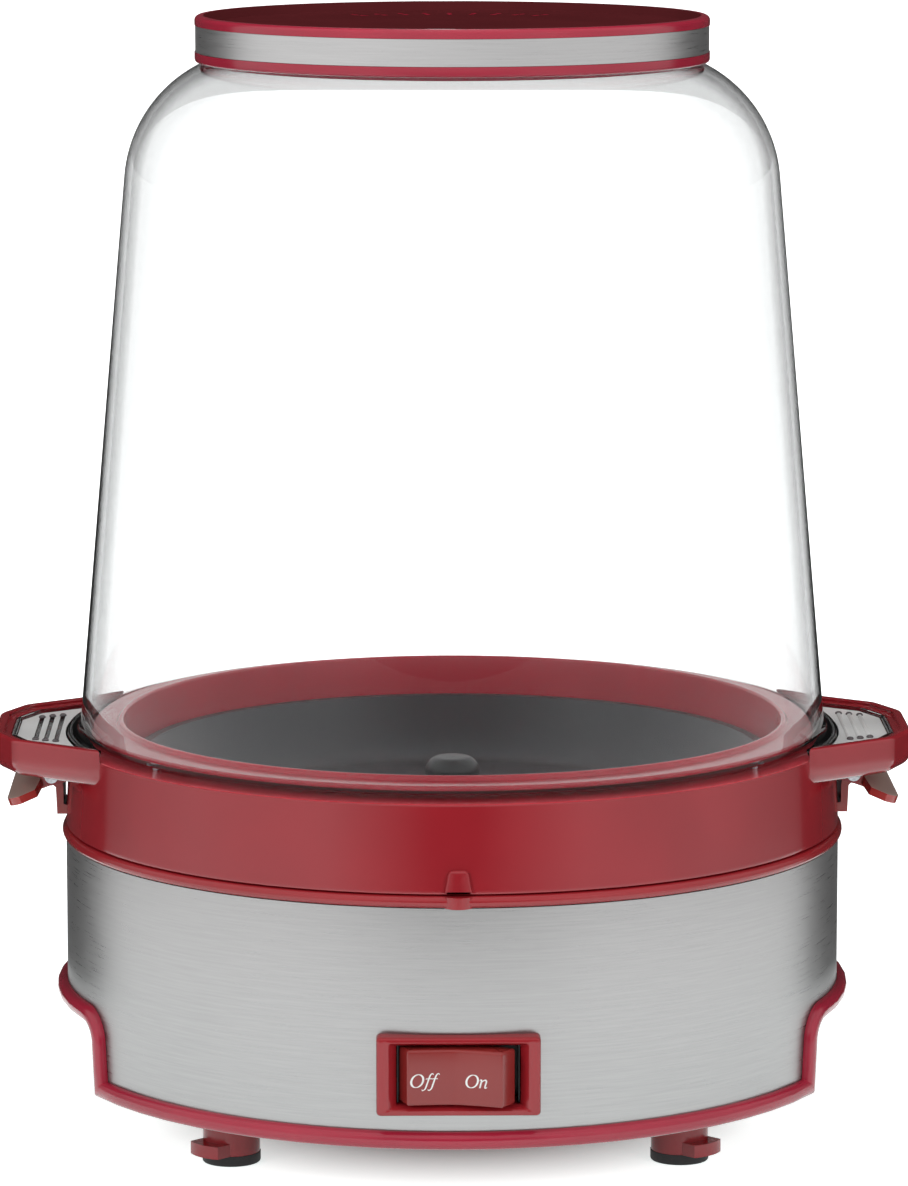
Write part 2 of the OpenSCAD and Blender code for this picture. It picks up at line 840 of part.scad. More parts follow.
module popping_plate() {
    rim_w = 3.2;
    wall_top = plate_r - rim_w;
    function dish(drop) = [for (i = [0 : 10])
        let (t = i / 10)
            [plate_flat_r + (wall_top - plate_flat_r) * t + drop * 0.55 * sin(90 * t),
                plate_top + dish_h * (1 - cos(90 * t)) * 0.93 + dish_h * 0.07 * t - drop * (1 - 0.6 * t)]];
    color([0.16, 0.16, 0.17])
        rotate_extrude($fn = 120)
            polygon(concat(
                [[bush_r + seat_gap, plate_top]],
                dish(0),
                [[plate_r, dish_top], [plate_r, dish_top - plate_t]],
                [for (i = [10 : -1 : 0]) dish(plate_t)[i]],
                [[bush_r + seat_gap, plate_z]]));
}

module plate_bush() {
    color([0.72, 0.60, 0.34])
        difference() {
            union() {
                translate([0, 0, plate_z - 5])
                    cylinder(h = plate_t + 5 + 2.2, r = bush_r);
                translate([0, 0, plate_top + 0.05])
                    cylinder(h = 1.6, r = bush_r + 4);
                translate([0, 0, plate_z - 1.8])
                    cylinder(h = 1.7, r = bush_r + 4);
            }
            translate([0, 0, plate_z - 10])
                cylinder(h = 30, r = stub_r + turn_gap);
        }
}

square_w = 5.2;
square_z = plate_top + 2.6;
square_h = 9;

module stub_shaft() {
    color([0.78, 0.78, 0.79])
        difference() {
            union() {
                // Slotted foot that takes the drive's dog
                translate([0, 0, stub_foot])
                    cylinder(h = 5.6, r = dog_r + 1);
                translate([0, 0, stub_foot + 1])
                    cylinder(h = square_z - stub_foot - 1, r = stub_r);
                translate([-square_w / 2, -square_w / 2, square_z - 0.1])
                    cube([square_w, square_w, square_h]);
            }
            translate([-dog_r - 3, -dog_w / 2 - 0.3, stub_foot - 1])
                cube([2 * dog_r + 6, dog_w + 0.6, dog_h + 0.9]);
        }
}

hub_z = square_z + lift_gap;
hub_h = 15;
wire_z = hub_z + 5.2;
wire_gap = 0.1;

module stir_hub() {
    color([0.13, 0.13, 0.14])
        difference() {
            translate([0, 0, hub_z])
                rotate_extrude()
                    polygon(concat(
                        [[0, 0], [hub_r, 0], [hub_r, 8]],
                        arc([hub_r - 5, hub_h - 5.5], 5.5, 10, 70, 6),
                        [[0, hub_h]]));
            translate([-square_w / 2 - lift_gap / 2, -square_w / 2 - lift_gap / 2, hub_z - 1])
                cube([square_w + lift_gap, square_w + lift_gap, square_h - lift_gap + 1.3]);
            // Holes for the two wires' ends
            for (s = sides)
                rod([s * (square_w / 2 + 1.2), 0, wire_z], [s * (hub_r + 2), 0, wire_z],
                    wire_d / 2 + wire_gap);
        }
}

// Two arms that sweep the plate's flat, one long and one short
module stir_wire() {
    low = plate_top + wire_d / 2 + 1.3;
    tip_z = low + dish_h * 0.1;
    long = plate_flat_r - 8;
    short = long * 0.62;
    start = square_w / 2 + 1.6;
    color([0.80, 0.80, 0.81]) {
        bent_wire([[start, 0, wire_z], [hub_r + 7, 0, wire_z], [hub_r + 16, 2, low],
            [long * 0.96, 12, low], [long * 0.98, 34, tip_z]], wire_d / 2, 4);
        bent_wire([[-start, 0, wire_z], [-hub_r - 7, 0, wire_z], [-hub_r - 16, -2, low],
            [-short, -8, low], [-short * 0.9, -38, low]], wire_d / 2, 4);
    }
}

// ---- Collar, handles and ring ----

clamp_flange_r = bowl_foot_in - 1.2;
clamp_screw_r = clamp_flange_r - 2.9;
ring_turns = [35, 145, 215, 325];

lever_x = collar_top_r + 5.6;
lever_z = handle_z - 3.6;
lever_half = 12;
bracket_half = lever_half + 0.5;
ear_t = 3;
lug_r = pin_r + 1.7;

// Half outline of a handle: the round corners that its body is stretched over
handle_root_x = collar_top_r - 16;
handle_root_half = 50;
handle_mid_x = handle_reach - 15.5;
handle_mid_half = 28.5;

// A round corner piece with a soft lower edge and a bevelled top edge
module handle_spool(r, z0, z1, inset) {
    low = 4.6;
    bevel = 2.2;
    translate([0, 0, z0])
        rotate_extrude($fn = 40)
            polygon(concat(
                [[0, 0]],
                arc([r - inset - low, low], low, -90, 0, 5),
                [[r - inset, z1 - z0 - 2 * bevel], [r - inset - bevel * 0.5, z1 - z0 - bevel * 0.55],
                    [r - inset - bevel, z1 - z0], [0, z1 - z0]]));
}

module handle_body(s) {
    end_x = handle_reach - handle_corner;
    hull()
        for (t = sides) {
            translate([s * end_x, t * handle_end_half, 0])
                handle_spool(handle_corner, handle_z, handle_top, 0);
            translate([s * handle_mid_x, t * handle_mid_half, 0])
                handle_spool(handle_corner - 1, handle_z, handle_top, 0);
            translate([s * handle_root_x, t * (handle_root_half - 4), 0])
                handle_spool(handle_corner, handle_z, handle_top, 0);
        }
}

// Outline of the opening inside a handle's frame, grown inwards by g
function grip_outline(g) =
    let (r = handle_corner - frame_w)
    let (x0 = collar_top_r - 24)
    concat(
        [[x0, frame_w - handle_root_half - 2 + g]],
        arc([handle_mid_x, -handle_mid_half], handle_corner - 1 - frame_w - g, -62, -50, 2),
        arc([handle_reach - handle_corner, -handle_end_half], r - g, -45, 0, 5),
        arc([handle_reach - handle_corner, handle_end_half], r - g, 0, 45, 5),
        arc([handle_mid_x, handle_mid_half], handle_corner - 1 - frame_w - g, 50, 62, 2),
        [[x0, handle_root_half - frame_w + 2 - g]]);

grip_floor = handle_z + 2.6;

module collar_wall_shape() {
    seat_t = 2.6;
    step_h = 2.2;
    rotate_extrude($fn = 120)
        polygon([
            [drum_r - collar_wall - 0.2, collar_z], [drum_r, collar_z],
            [drum_r - 0.15, collar_z + 3], [collar_top_r + 0.1, collar_top - step_h],
            [collar_top_r - 0.35, collar_top - step_h + 0.25], [collar_top_r - 0.35, collar_top - seat_gap],
            [ring_r + seat_gap + 0.6, collar_top - seat_gap],
            [ring_r + seat_gap + 0.6, collar_top - seat_t - 6],
            [ring_r + seat_gap + 2.8, collar_top - seat_t - 6],
            [ring_r + seat_gap + 2.8, collar_top - seat_t],
            [collar_in, collar_top - seat_t], [collar_in, collar_z + 4]]);
}

module collar() {
    color([0.58, 0.12, 0.16])
        difference() {
            union() {
                collar_wall_shape();
                difference() {
                    for (s = sides)
                        handle_body(s);
                    translate([0, 0, collar_z])
                        cylinder(h = collar_h + handle_rise + 1, r = collar_in + 0.5);
                }
                // Boss that lines up with the bulge in the base's bead
                front_boss(boss_w, boss_h, drum_r, collar_z, 1.6);
                // Lugs that carry the levers' pins
                for (s = sides, t = sides)
                    translate([s * lever_x, t * (bracket_half + ear_t / 2), 0])
                        rotate([90, 0, 0])
                            linear_extrude(ear_t, center = true)
                                polygon(concat(
                                    [[-s * 8, handle_z + 2], [-s * 8, lever_z - 1]],
                                    [for (a = [-90 : 22.5 : 0])
                                        [s * lug_r * cos(a), lever_z + lug_r * sin(a)]],
                                    [[s * lug_r, handle_z + 2]]));
                // Bosses for the ring's screws
                at_turns(ring_turns)
                    translate([clamp_screw_r, 0, collar_top - 10])
                        cylinder(h = 8, r = 3.4, $fn = 32);
            }
            // Openings for the clear grips
            for (s = sides)
                mirror([s > 0 ? 0 : 1, 0, 0])
                    difference() {
                        translate([0, 0, grip_floor])
                            linear_extrude(handle_h + 5)
                                polygon(grip_outline(0));
                        cylinder(h = handle_top, r = bowl_foot_in - 1);
                    }
            // Seat of the bowl's flange through the handles
            translate([0, 0, collar_top - seat_gap])
                cylinder(h = handle_rise + 5, r = collar_top_r + seat_gap);
            // Holes for the pins
            for (s = sides)
                translate([s * lever_x, 0, lever_z])
                    rotate([90, 0, 0])
                        cylinder(h = 2 * bracket_half + 3 * ear_t, r = pin_r, center = true, $fn = 32);
            // Notches in the lower edge for the hooks
            for (s = sides)
                translate([s * (collar_in + 3), 0, collar_z + (hook_top - collar_z) / 2])
                    cube([14, 2 * hook_half + 2, hook_top - collar_z + 2], center = true);
            at_turns(ring_turns)
                translate([clamp_screw_r, 0, collar_top - 11])
                    cylinder(h = 20, r = through_r, $fn = 32);
            // Room below for the base's lip
            translate([0, 0, collar_z - 1])
                cylinder(h = lip_h + 1, r = lip_out + slip_gap);
        }
}

module retaining_ring() {
    top_soft = 0.9;
    skirt = 18;
    color([0.60, 0.10, 0.15])
        difference() {
            rotate_extrude($fn = 120)
                polygon(concat(
                    [[ring_in, ring_top - skirt], [ring_r, ring_top - skirt],
                        [ring_r, flange_top + 0.1], [clamp_flange_r, flange_top + 0.1],
                        [clamp_flange_r, flange_top + 1.3], [clamp_flange_r - 0.7, flange_top + 1.9],
                        [ring_r + 0.8, flange_top + 2.1], [ring_r, flange_top + 2.9]],
                    arc([ring_r - top_soft, ring_top - top_soft], top_soft, 0, 90, 4),
                    arc([ring_in + top_soft, ring_top - top_soft], top_soft, 90, 180, 4)));
            at_turns(ring_turns)
                translate([clamp_screw_r, 0, flange_z - 2])
                    cylinder(h = flange_t + 3, r = thread_r, $fn = 24);
        }
}

module ring_screws() {
    color([0.62, 0.62, 0.64])
        at_turns(ring_turns)
            translate([clamp_screw_r, 0, 0])
                screw(collar_top - 10 - 0.05, 10.6 + flange_t, -1, 2.6);
}

// ---- Clear bowl ----

taper_c = cos(bowl_taper);
// Centre of the shoulder's arc, set so that the lid's seat meets it
seat_r = lid_r - 1.8;
seat_z = lid_z - lift_gap;
wall_t = tan(bowl_taper);
// The arc touches the wall's line and passes the seat at the lid's height
function shoulder_centre(zc) = bowl_foot_r - (zc - flange_z) * wall_t - shoulder_r / taper_c;
function seat_miss(zc) = norm([seat_r - shoulder_centre(zc), seat_z - zc]) - shoulder_r;
function find_zc(lo, hi, n) =
    let (mid = (lo + hi) / 2)
    n == 0 ? mid : (seat_miss(mid) > 0 ? find_zc(mid, hi, n - 1) : find_zc(lo, mid, n - 1));
shoulder_z = find_zc(seat_z - shoulder_r - 10, seat_z, 40);
shoulder_x = shoulder_centre(shoulder_z);
neck_top = lid_z + 6;

// Height of the shoulder's outside at radius x
function shoulder_at(x) = shoulder_z + sqrt(shoulder_r * shoulder_r - pow(x - shoulder_x, 2));
// Where the shoulder's arc, of radius r, meets the neck
function neck_angle(r, x) = acos((x - shoulder_x) / r);

module bowl_shape() {
    neck_in = neck_r - bowl_wall;
    outer_r = shoulder_r;
    inner_r = shoulder_r - bowl_wall;
    rotate_extrude($fn = 120)
        polygon(concat(
            [[ring_r + seat_gap + 0.2, flange_z], [collar_top_r, flange_z],
                [collar_top_r, flange_top - 0.5], [collar_top_r - 0.5, flange_top],
                [bowl_foot_r + 0.9, flange_top], [bowl_foot_r - flange_t * wall_t, flange_top + 1.6]],
            arc([shoulder_x, shoulder_z], outer_r, bowl_taper, neck_angle(outer_r, neck_r), 16),
            [[neck_r, neck_top], [neck_in, neck_top]],
            arc([shoulder_x, shoulder_z], inner_r, neck_angle(inner_r, neck_in), bowl_taper, 16),
            [[bowl_foot_in - flange_t * wall_t, flange_top],
                [ring_r + seat_gap + 0.2, flange_top]]));
}

// Ribbed tray that fills a handle's frame, from the wall's foot outwards
module clear_grip(s) {
    wall = 1.8;
    slab = 1.6;
    g = slip_gap / 2;
    rib_r = 0.9;
    rib_half = 18.5;
    slab_z = grip_floor + g;
    first_rib = handle_reach - frame_w - 10.4;
    mirror([s > 0 ? 0 : 1, 0, 0]) {
        difference() {
            translate([0, 0, slab_z])
                linear_extrude(flange_top - slab_z)
                    polygon(grip_outline(g));
            difference() {
                translate([0, 0, slab_z + slab])
                    linear_extrude(handle_h)
                        polygon(grip_outline(g + wall));
                cylinder(h = flange_top, r = bowl_foot_r + 0.6);
            }
            translate([0, 0, slab_z - 1])
                cylinder(h = handle_h, r = bowl_foot_in - flange_t * wall_t);
        }
        for (i = [0 : grip_ribs - 1])
            translate([first_rib - i * rib_pitch, 0, slab_z + slab - 0.1]) {
                rotate([90, 0, 0])
                    cylinder(h = 2 * rib_half, r = rib_r, center = true, $fn = 48);
                for (t = sides)
                    translate([0, t * rib_half, 0])
                        cylinder(h = 1.1, r = rib_r + 0.5, $fn = 48);
            }
    }
}

module popping_bowl() {
    color([0.92, 0.94, 0.95, 0.35])
        difference() {
            union() {
                bowl_shape();
                for (s = sides)
                    clear_grip(s);
            }
            at_turns(ring_turns)
                translate([clamp_screw_r, 0, flange_z - 1])
                    cylinder(h = flange_t + 2, r = through_r, $fn = 24);
        }
}

// ---- Levers ----

module release_lever(s) {
    boss_r = pin_r + 1.6;
    arm_t = 2.2;
    paddle_z = 0.4 - boss_r;
    root_half = lever_half - 0.8;
    rib_t = 1.4;
    hook_tip = lip_out + 0.4;
    arm_in = drum_r + 0.6 - lever_x;
    mirror([s > 0 ? 0 : 1, 0, 0])
        color([0.70, 0.42, 0.40])
            difference() {
                union() {
                    // Barrel round the pin
                    translate([lever_x, 0, lever_z])
                        rotate([90, 0, 0])
                            cylinder(h = 2 * lever_half, r = boss_r, center = true);
                    // Paddle under the handle
                    translate([lever_x, 0, lever_z])
                        rotate([0, paddle_droop, 0])
                            translate([0, 0, paddle_z])
                                linear_extrude(paddle_t)
                                    polygon(concat(
                                        [[0, -root_half], [lug_r + 1, -root_half], [lug_r + 2, 3.5 - paddle_half]],
                                        arc([paddle_out - 6, 7.5 - paddle_half], 7, -70, 0, 6),
                                        arc([paddle_out - 6, paddle_half - 7.5], 7, 0, 70, 6),
                                        [[lug_r + 2, paddle_half - 3.5], [lug_r + 1, root_half], [0, root_half]]));
                    // Arm down to the hook
                    translate([lever_x, hook_half, 0])
                        rotate([90, 0, 0])
                            linear_extrude(2 * hook_half)
                                polygon([
                                    [0, lever_z + boss_r - 0.4], [-boss_r + 0.2, lever_z],
                                    [arm_in, lever_z - 5], [arm_in, hook_z + hook_h],
                                    [hook_tip - lever_x, hook_z + hook_h - 1.2],
                                    [hook_tip - lever_x, hook_z + 0.6], [hook_tip + 1 - lever_x, hook_z],
                                    [arm_in + arm_t, hook_z], [arm_in + arm_t + 0.4, lever_z - 5],
                                    [1, lever_z - boss_r]]);
                    // Ribs that stiffen the paddle
                    for (t = sides)
                        translate([lever_x, 0, lever_z])
                            rotate([0, paddle_droop, 0])
                                translate([1.2, t * (hook_half - 1.4) - rib_t / 2, paddle_z - 1.3])
                                    cube([paddle_out - 6, rib_t, 2]);
                }
                translate([lever_x, 0, lever_z])
                    rotate([90, 0, 0])
                        cylinder(h = 3 * lever_half, r = pin_r + turn_gap, center = true, $fn = 48);
                // Gap for the coil spring
                translate([lever_x, 0, lever_z])
                    rotate([90, 0, 0])
                        cylinder(h = 2 * spring_half + 0.8, r = boss_r + 0.5, center = true, $fn = 48);
            }
}

spring_half = 2.6;
spring_wire = 0.7;

module lever_pin(s) {
    color([0.76, 0.76, 0.78])
        translate([s * lever_x, 0, lever_z])
            rotate([90, 0, 0]) {
                cylinder(h = 2 * (bracket_half + ear_t), r = pin_r, center = true, $fn = 48);
                translate([0, 0, bracket_half + ear_t])
                    cylinder(h = 0.8, r = pin_r + 0.8, $fn = 32);
            }
}

// A coil round the pin, with one tail up behind the handle
module lever_spring(s) {
    coil_r = pin_r + 0.35 + spring_wire / 2;
    turns = 5;
    per_turn = 14;
    sides_n = 6;
    length = 2 * spring_half - spring_wire - 0.4;
    n = turns * per_turn;
    function coil_point(i) =
        [coil_r * cos(360 * i / per_turn), (i / n - 0.5) * length, coil_r * sin(360 * i / per_turn)];
    function coil_ring(i) =
        let (out = [cos(360 * i / per_turn), 0, sin(360 * i / per_turn)])
        [for (k = [0 : sides_n - 1])
            coil_point(i) + spring_wire / 2 * (cos(60 * k) * out + sin(60 * k) * [0, 1, 0])];
    points = [for (i = [0 : n]) each coil_ring(i)];
    faces = concat(
        [for (i = [0 : n - 1]) for (k = [0 : sides_n - 1])
            let (a = i * sides_n, b = a + sides_n, m = (k + 1) % sides_n)
                each [[a + k, b + m, a + m], [a + k, b + k, b + m]]],
        [for (k = [1 : sides_n - 2]) [0, k, k + 1]],
        [for (k = [1 : sides_n - 2]) [n * sides_n, n * sides_n + k + 1, n * sides_n + k]]);
    color([0.55, 0.55, 0.57])
        mirror([s > 0 ? 0 : 1, 0, 0])
            translate([lever_x, 0, lever_z])
                polyhedron(points, faces, convexity = 8);
}

// ---- Lid ----

band_z = lid_z + lid_ring_h + 0.1;
band_top = band_z + band_h;
band_t = 0.8;
cover_wall = 2.2;

module lid_ring() {
    inside = lid_r - band_t - 0.4 - cover_wall;
    color([0.62, 0.11, 0.16])
        rotate_extrude($fn = 120)
            polygon(concat(
                [[inside, shoulder_at(inside) + lift_gap], [seat_r, lid_z]],
                arc([lid_r - 1, lid_z + 1], 1, -90, 0, 4),
                [[lid_r, band_z - 0.1], [inside, band_z - 0.1]]));
}

module lid_band() {
    color([0.76, 0.76, 0.77])
        translate([0, 0, band_z])
            tube(lid_r - 0.25, lid_r - 0.25 - band_t, band_h - 0.1);
}

module lid_cover() {
    wall_out = lid_r - band_t - 0.4;
    wall_in = wall_out - cover_wall;
    plug_out = neck_r - bowl_wall - slip_gap;
    plug_in = plug_out - 2;
    disc_z = total_h - 3.6;
    disc_t = 2.4;
    vent_r = plug_in - 5;
    color([0.42, 0.08, 0.11])
        difference() {
            rotate_extrude($fn = 120)
                polygon(concat(
                    [[0, disc_z - disc_t], [plug_in, disc_z - disc_t], [plug_in, disc_z - disc_t - plug_h],
                        [plug_out - 0.8, disc_z - disc_t - plug_h],
                        [plug_out, disc_z - disc_t - plug_h + 1.5], [plug_out, disc_z - disc_t],
                        [wall_in, disc_z - disc_t], [wall_in, band_z + 0.05], [wall_out, band_z + 0.05],
                        [wall_out, band_top], [lid_r, band_top]],
                    arc([lid_r - 1.6, total_h - 1.6], 1.6, 0, 90, 5),
                    [[lid_r - 3, total_h], [lid_r - 5.4, disc_z + 0.6], [lid_r - 8, disc_z], [0, disc_z + 0.9]]));
            // Steam vents near the front and the back
            for (turn = [90, 270], row = [0 : 1], k = [-4 : 4])
                rotate(turn + k * 7)
                    translate([vent_r - row * 7, 0, disc_z - disc_t - 1])
                        rounded_slot(4.6, 1.8, disc_t + 4);
        }
}

// ---- Switch and cord gland ----

bezel_y = drum_r + bezel_proud;
rocker_axis_y = drum_r - 3.4;
rocker_w = window_w - 2;
rocker_h = window_h - 1;
rocker_face = bezel_y + 0.7 - rocker_axis_y;
rocker_rise = 3;
body_w = window_w - 0.4;
body_h = window_h - 0.4;
body_deep = 24;

// A rectangular hole through the front of the wall
module switch_hole(w, h) {
    translate([-w / 2, -drum_r - 10, switch_z - h / 2])
        cube([w, 40, h]);
}

module switch_bezel() {
    slope = 3.2;
    lip = 1.2;
    tail_w = window_w + 5 - 2 * seat_gap;
    tail_h = window_h + 3 - 2 * seat_gap;
    color([0.60, 0.10, 0.14])
        difference() {
            union() {
                // Face that stands on the sleeve
                intersection() {
                    hull() {
                        translate([0, -bezel_y + lip, switch_z])
                            cube([bezel_w - 1.6, 2 * lip, bezel_h - 1.6], center = true);
                        translate([0, -bezel_y + 5, switch_z])
                            cube([bezel_w, 7.4, bezel_h], center = true);
                    }
                    translate([-bezel_w, -bezel_y - 5, 0])
                        cube([2 * bezel_w, 40, bead_z]);
                }
                // Tail through the sleeve
                translate([-tail_w / 2, -drum_r, switch_z - tail_h / 2])
                    cube([tail_w, 12, tail_h]);
            }
            // Back of the face follows the sleeve, round the tail
            difference() {
                cylinder(h = bead_z, r = drum_r + seat_gap);
                translate([-tail_w / 2, -drum_r - 5, switch_z - tail_h / 2])
                    cube([tail_w, 30, tail_h]);
            }
            // Window with sloping sides
            translate([-window_w / 2, -drum_r - 20, switch_z - window_h / 2])
                cube([window_w, 60, window_h]);
            hull() {
                translate([0, -bezel_y + 0.05 - 1, switch_z])
                    cube([window_w + 5.2, 2, window_h + 2.6], center = true);
                translate([0, -bezel_y + slope, switch_z])
                    cube([window_w, 0.1, window_h], center = true);
            }
        }
}

module switch_body() {
    well_w = rocker_w + 0.8;
    well_hh = rocker_h + 0.6;
    mouth_y = -drum_r + 1;
    back_y = mouth_y + body_deep;
    color([0.10, 0.10, 0.11])
        difference() {
            union() {
                translate([-body_w / 2 + 0.1, mouth_y, switch_z - body_h / 2 + 0.1])
                    cube([body_w - 0.2, body_deep, body_h - 0.2]);
                // Snap shoulders behind the bezel
                for (s = sides)
                    translate([s * (body_w / 2 + 0.8) - 1, -drum_r + 12.2, switch_z - 4])
                        cube([2, 4, 8]);
                for (k = [-1, 0, 1])
                    translate([k * 11 - 0.4, back_y - 0.1, switch_z - 3.2])
                        cube([0.8, 8, 6.4]);
            }
            // Space that the rocker swings in
            translate([-well_w / 2, mouth_y - 1, switch_z - well_hh / 2])
                cube([well_w, 11.4, well_hh]);
            translate([0, -rocker_axis_y, switch_z])
                cylinder(h = body_h + 2, r = pivot_r, center = true, $fn = 48);
        }
}

pivot_r = 1.6;

// Plan of the rocker, upright in the middle of its travel
function rocker_plan() = concat(
    [[-rocker_w / 2, 1.2 - 3], [-rocker_w / 2 + 0.3, -rocker_face - rocker_rise + 0.8],
        [-rocker_w / 2 + 1.3, -rocker_face - rocker_rise]],
    [for (i = [0 : 8])
        let (x = (i / 4 - 1) * (rocker_w / 2 - 3))
            [x, -rocker_face - rocker_rise * pow(abs(x) / (rocker_w / 2 - 3), 1.3) * 0.93]],
    [[rocker_w / 2 - 1.3, -rocker_face - rocker_rise],
        [rocker_w / 2 - 0.3, -rocker_face - rocker_rise + 0.8], [rocker_w / 2, 1.2 - 3],
        [rocker_w / 4, 1.2], [-rocker_w / 4, 1.2]]);

module rocker() {
    color([0.52, 0.14, 0.17])
        translate([0, -rocker_axis_y, switch_z])
            rotate(-rocker_tilt)
                difference() {
                    union() {
                        translate([0, 0, -rocker_h / 2])
                            linear_extrude(rocker_h)
                                polygon(rocker_plan());
                        cylinder(h = rocker_h, r = pivot_r + 1.8, center = true, $fn = 48);
                    }
                    cylinder(h = rocker_h + 2, r = pivot_r + turn_gap, center = true, $fn = 48);
                }
}

module rocker_pin() {
    color([0.75, 0.75, 0.76])
        translate([0, -rocker_axis_y, switch_z])
            cylinder(h = body_h - 0.2, r = pivot_r, center = true, $fn = 48);
}

gland_r = 6.5;
gland_flange_r = gland_r + 2.2;
gland_z = base_lift + rim_h + gland_flange_r + 2.5;
gland_bore = 3.4;
// The front of the switch and the back of the gland reach as far from the middle
front_reach = rocker_axis_y + (rocker_face + rocker_rise) * cos(rocker_tilt)
    + (rocker_w / 2 - 1.3) * sin(rocker_tilt);

module gland_hole(r) {
    translate([0, drum_r - 30, gland_z])
        rotate([-90, 0, 0])
            cylinder(h = 60, r = r, $fn = 64);
}

module cord_gland() {
    flange_r = gland_flange_r;
    flat_y = sqrt(drum_r * drum_r - flange_r * flange_r);
    color([0.08, 0.08, 0.09])
        difference() {
            union() {
                translate([0, tray_in - 4, gland_z])
                    rotate([-90, 0, 0])
                        cylinder(h = drum_r - tray_in + 5, r = gland_r, $fn = 64);
                // Flange on the sleeve, then a tapered sleeve with soft rings
                translate([0, drum_r, gland_z])
                    rotate([-90, 0, 0])
                        rotate_extrude($fn = 64)
                            polygon(concat(
                                [[0, -0.5 - drum_r + flat_y], [flange_r, -0.5 - drum_r + flat_y], [flange_r, 1.4],
                                    [gland_r, 2]],
                                [for (i = [0 : 3]) each [
                                    [gland_r - 0.5 * i, 2.2 + i * (front_reach - drum_r - 2.4) / 4],
                                    [gland_r - 0.5 * i - 0.1, 3.1 + i * (front_reach - drum_r - 2.4) / 4],
                                    [gland_r - 0.5 * i - 1, 3.3 + i * (front_reach - drum_r - 2.4) / 4]]],
                                [[gland_r - 2.4, front_reach - drum_r], [0, front_reach - drum_r]]));
            }
            // Back of the flange follows the sleeve, round the neck
            difference() {
                translate([0, 0, gland_z - 20])
                    cylinder(h = 40, r = drum_r + seat_gap);
                translate([0, tray_in - 6, gland_z])
                    rotate([-90, 0, 0])
                        cylinder(h = 40, r = gland_r, $fn = 64);
            }
            translate([0, tray_in - 10, gland_z])
                rotate([-90, 0, 0])
                    cylinder(h = 60, r = gland_bore, $fn = 48);
        }
}

block_y = tray_in - 30;
block_z = floor_top + 0.1;

module terminal_block() {
    color([0.86, 0.85, 0.80])
        translate([0, block_y, block_z])
            difference() {
                rounded_block([34, 15, 12], 1.5);
                for (k = [-1 : 1])
                    translate([k * 10.4, 0, 4]) {
                        cylinder(h = 10, r = 2.4, $fn = 24);
                        rotate([90, 0, 0])
                            cylinder(h = 20, r = 1.9, center = true, $fn = 24);
                    }
            }
}

module wiring() {
    lead = 1.3;
    out = block_y - 9;
    low = block_z + 5;
    switch_back = -drum_r + 1 + body_deep + 9;
    color([0.20, 0.20, 0.22]) {
        // Leads to the switch, one each side of the motor
        for (s = sides)
            bent_wire([[s * 10.4, out, low], [s * 16, out - 8, low + 3], [s * 58, 34, low + 3],
                [s * 58, -40, low + 3], [s * 22, switch_back + 4, switch_z],
                [s * 11, switch_back, switch_z]], lead, 6, 8);
        // Lead up to the element's terminals
        bent_wire([[0, out, low], [-6, out - 14, low + 14], [element_leg_x - 4, 40, well_floor - 20],
            [element_leg_x - 3, element_leg_y + 6, well_floor - 26]], lead, 6, 8);
    }
}

// ---- Nodes ----

base_tray();
foot_pad([-1, -1]);  // foot_pad_front_left
foot_pad([1, -1]);  // foot_pad_front_right
foot_pad([-1, 1]);  // foot_pad_back_left
foot_pad([1, 1]);  // foot_pad_back_right
drum_sleeve();
top_ring();
base_screws();
heat_well();
well_screws();
heating_element();
element_terminals();
element_clamps();
plate_posts();
thermostat();
thermal_fuse();
motor_can();
gear_case();
motor_bracket();
motor_screws();
shaft_bush();
drive_shaft();
popping_plate();
plate_bush();
stub_shaft();
stir_hub();
stir_wire();
collar();
retaining_ring();
ring_screws();
popping_bowl();
release_lever(-1);  // release_lever_left
release_lever(1);  // release_lever_right
lever_pin(-1);  // lever_pin_left
lever_pin(1);  // lever_pin_right
lever_spring(-1);  // lever_spring_left
lever_spring(1);  // lever_spring_right
lid_ring();
lid_band();
lid_cover();
switch_bezel();
switch_body();
rocker();
rocker_pin();
cord_gland();
terminal_block();
wiring();
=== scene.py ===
"""Domed popcorn maker: finishes, smooth skins, lettering, floor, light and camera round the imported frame."""

import json
import logging
import math
from collections.abc import Callable
from dataclasses import dataclass, field
from enum import Enum

import bmesh
import bpy
import numpy as np
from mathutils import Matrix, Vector


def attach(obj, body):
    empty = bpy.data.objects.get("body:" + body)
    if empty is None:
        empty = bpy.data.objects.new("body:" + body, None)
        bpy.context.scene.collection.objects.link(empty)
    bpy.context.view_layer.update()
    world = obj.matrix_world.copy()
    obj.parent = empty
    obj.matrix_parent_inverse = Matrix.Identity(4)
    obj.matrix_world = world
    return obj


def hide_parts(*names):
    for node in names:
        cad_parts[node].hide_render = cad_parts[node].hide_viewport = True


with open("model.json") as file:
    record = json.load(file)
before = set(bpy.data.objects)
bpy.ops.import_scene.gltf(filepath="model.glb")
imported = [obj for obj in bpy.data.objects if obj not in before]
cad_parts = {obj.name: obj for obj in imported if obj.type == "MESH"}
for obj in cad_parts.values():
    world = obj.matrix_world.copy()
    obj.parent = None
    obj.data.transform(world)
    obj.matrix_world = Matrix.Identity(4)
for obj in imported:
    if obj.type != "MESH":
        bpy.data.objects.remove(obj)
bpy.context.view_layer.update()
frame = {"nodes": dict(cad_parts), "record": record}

log = logging.getLogger("popcorn_maker")
MM = 0.001
# Points nearer than MERGE are one point and edges shorter than SLIVER are dropped, in metres
MERGE, SLIVER = 2e-6, 1e-6


class Side(Enum):
    """The two sides of the machine, as seen from its front."""

    LEFT = -1
    RIGHT = 1

    @property
    def label(self) -> str:
        """The side's name in node and piece names."""
        return self.name.lower()


# ---- Surfaces ----


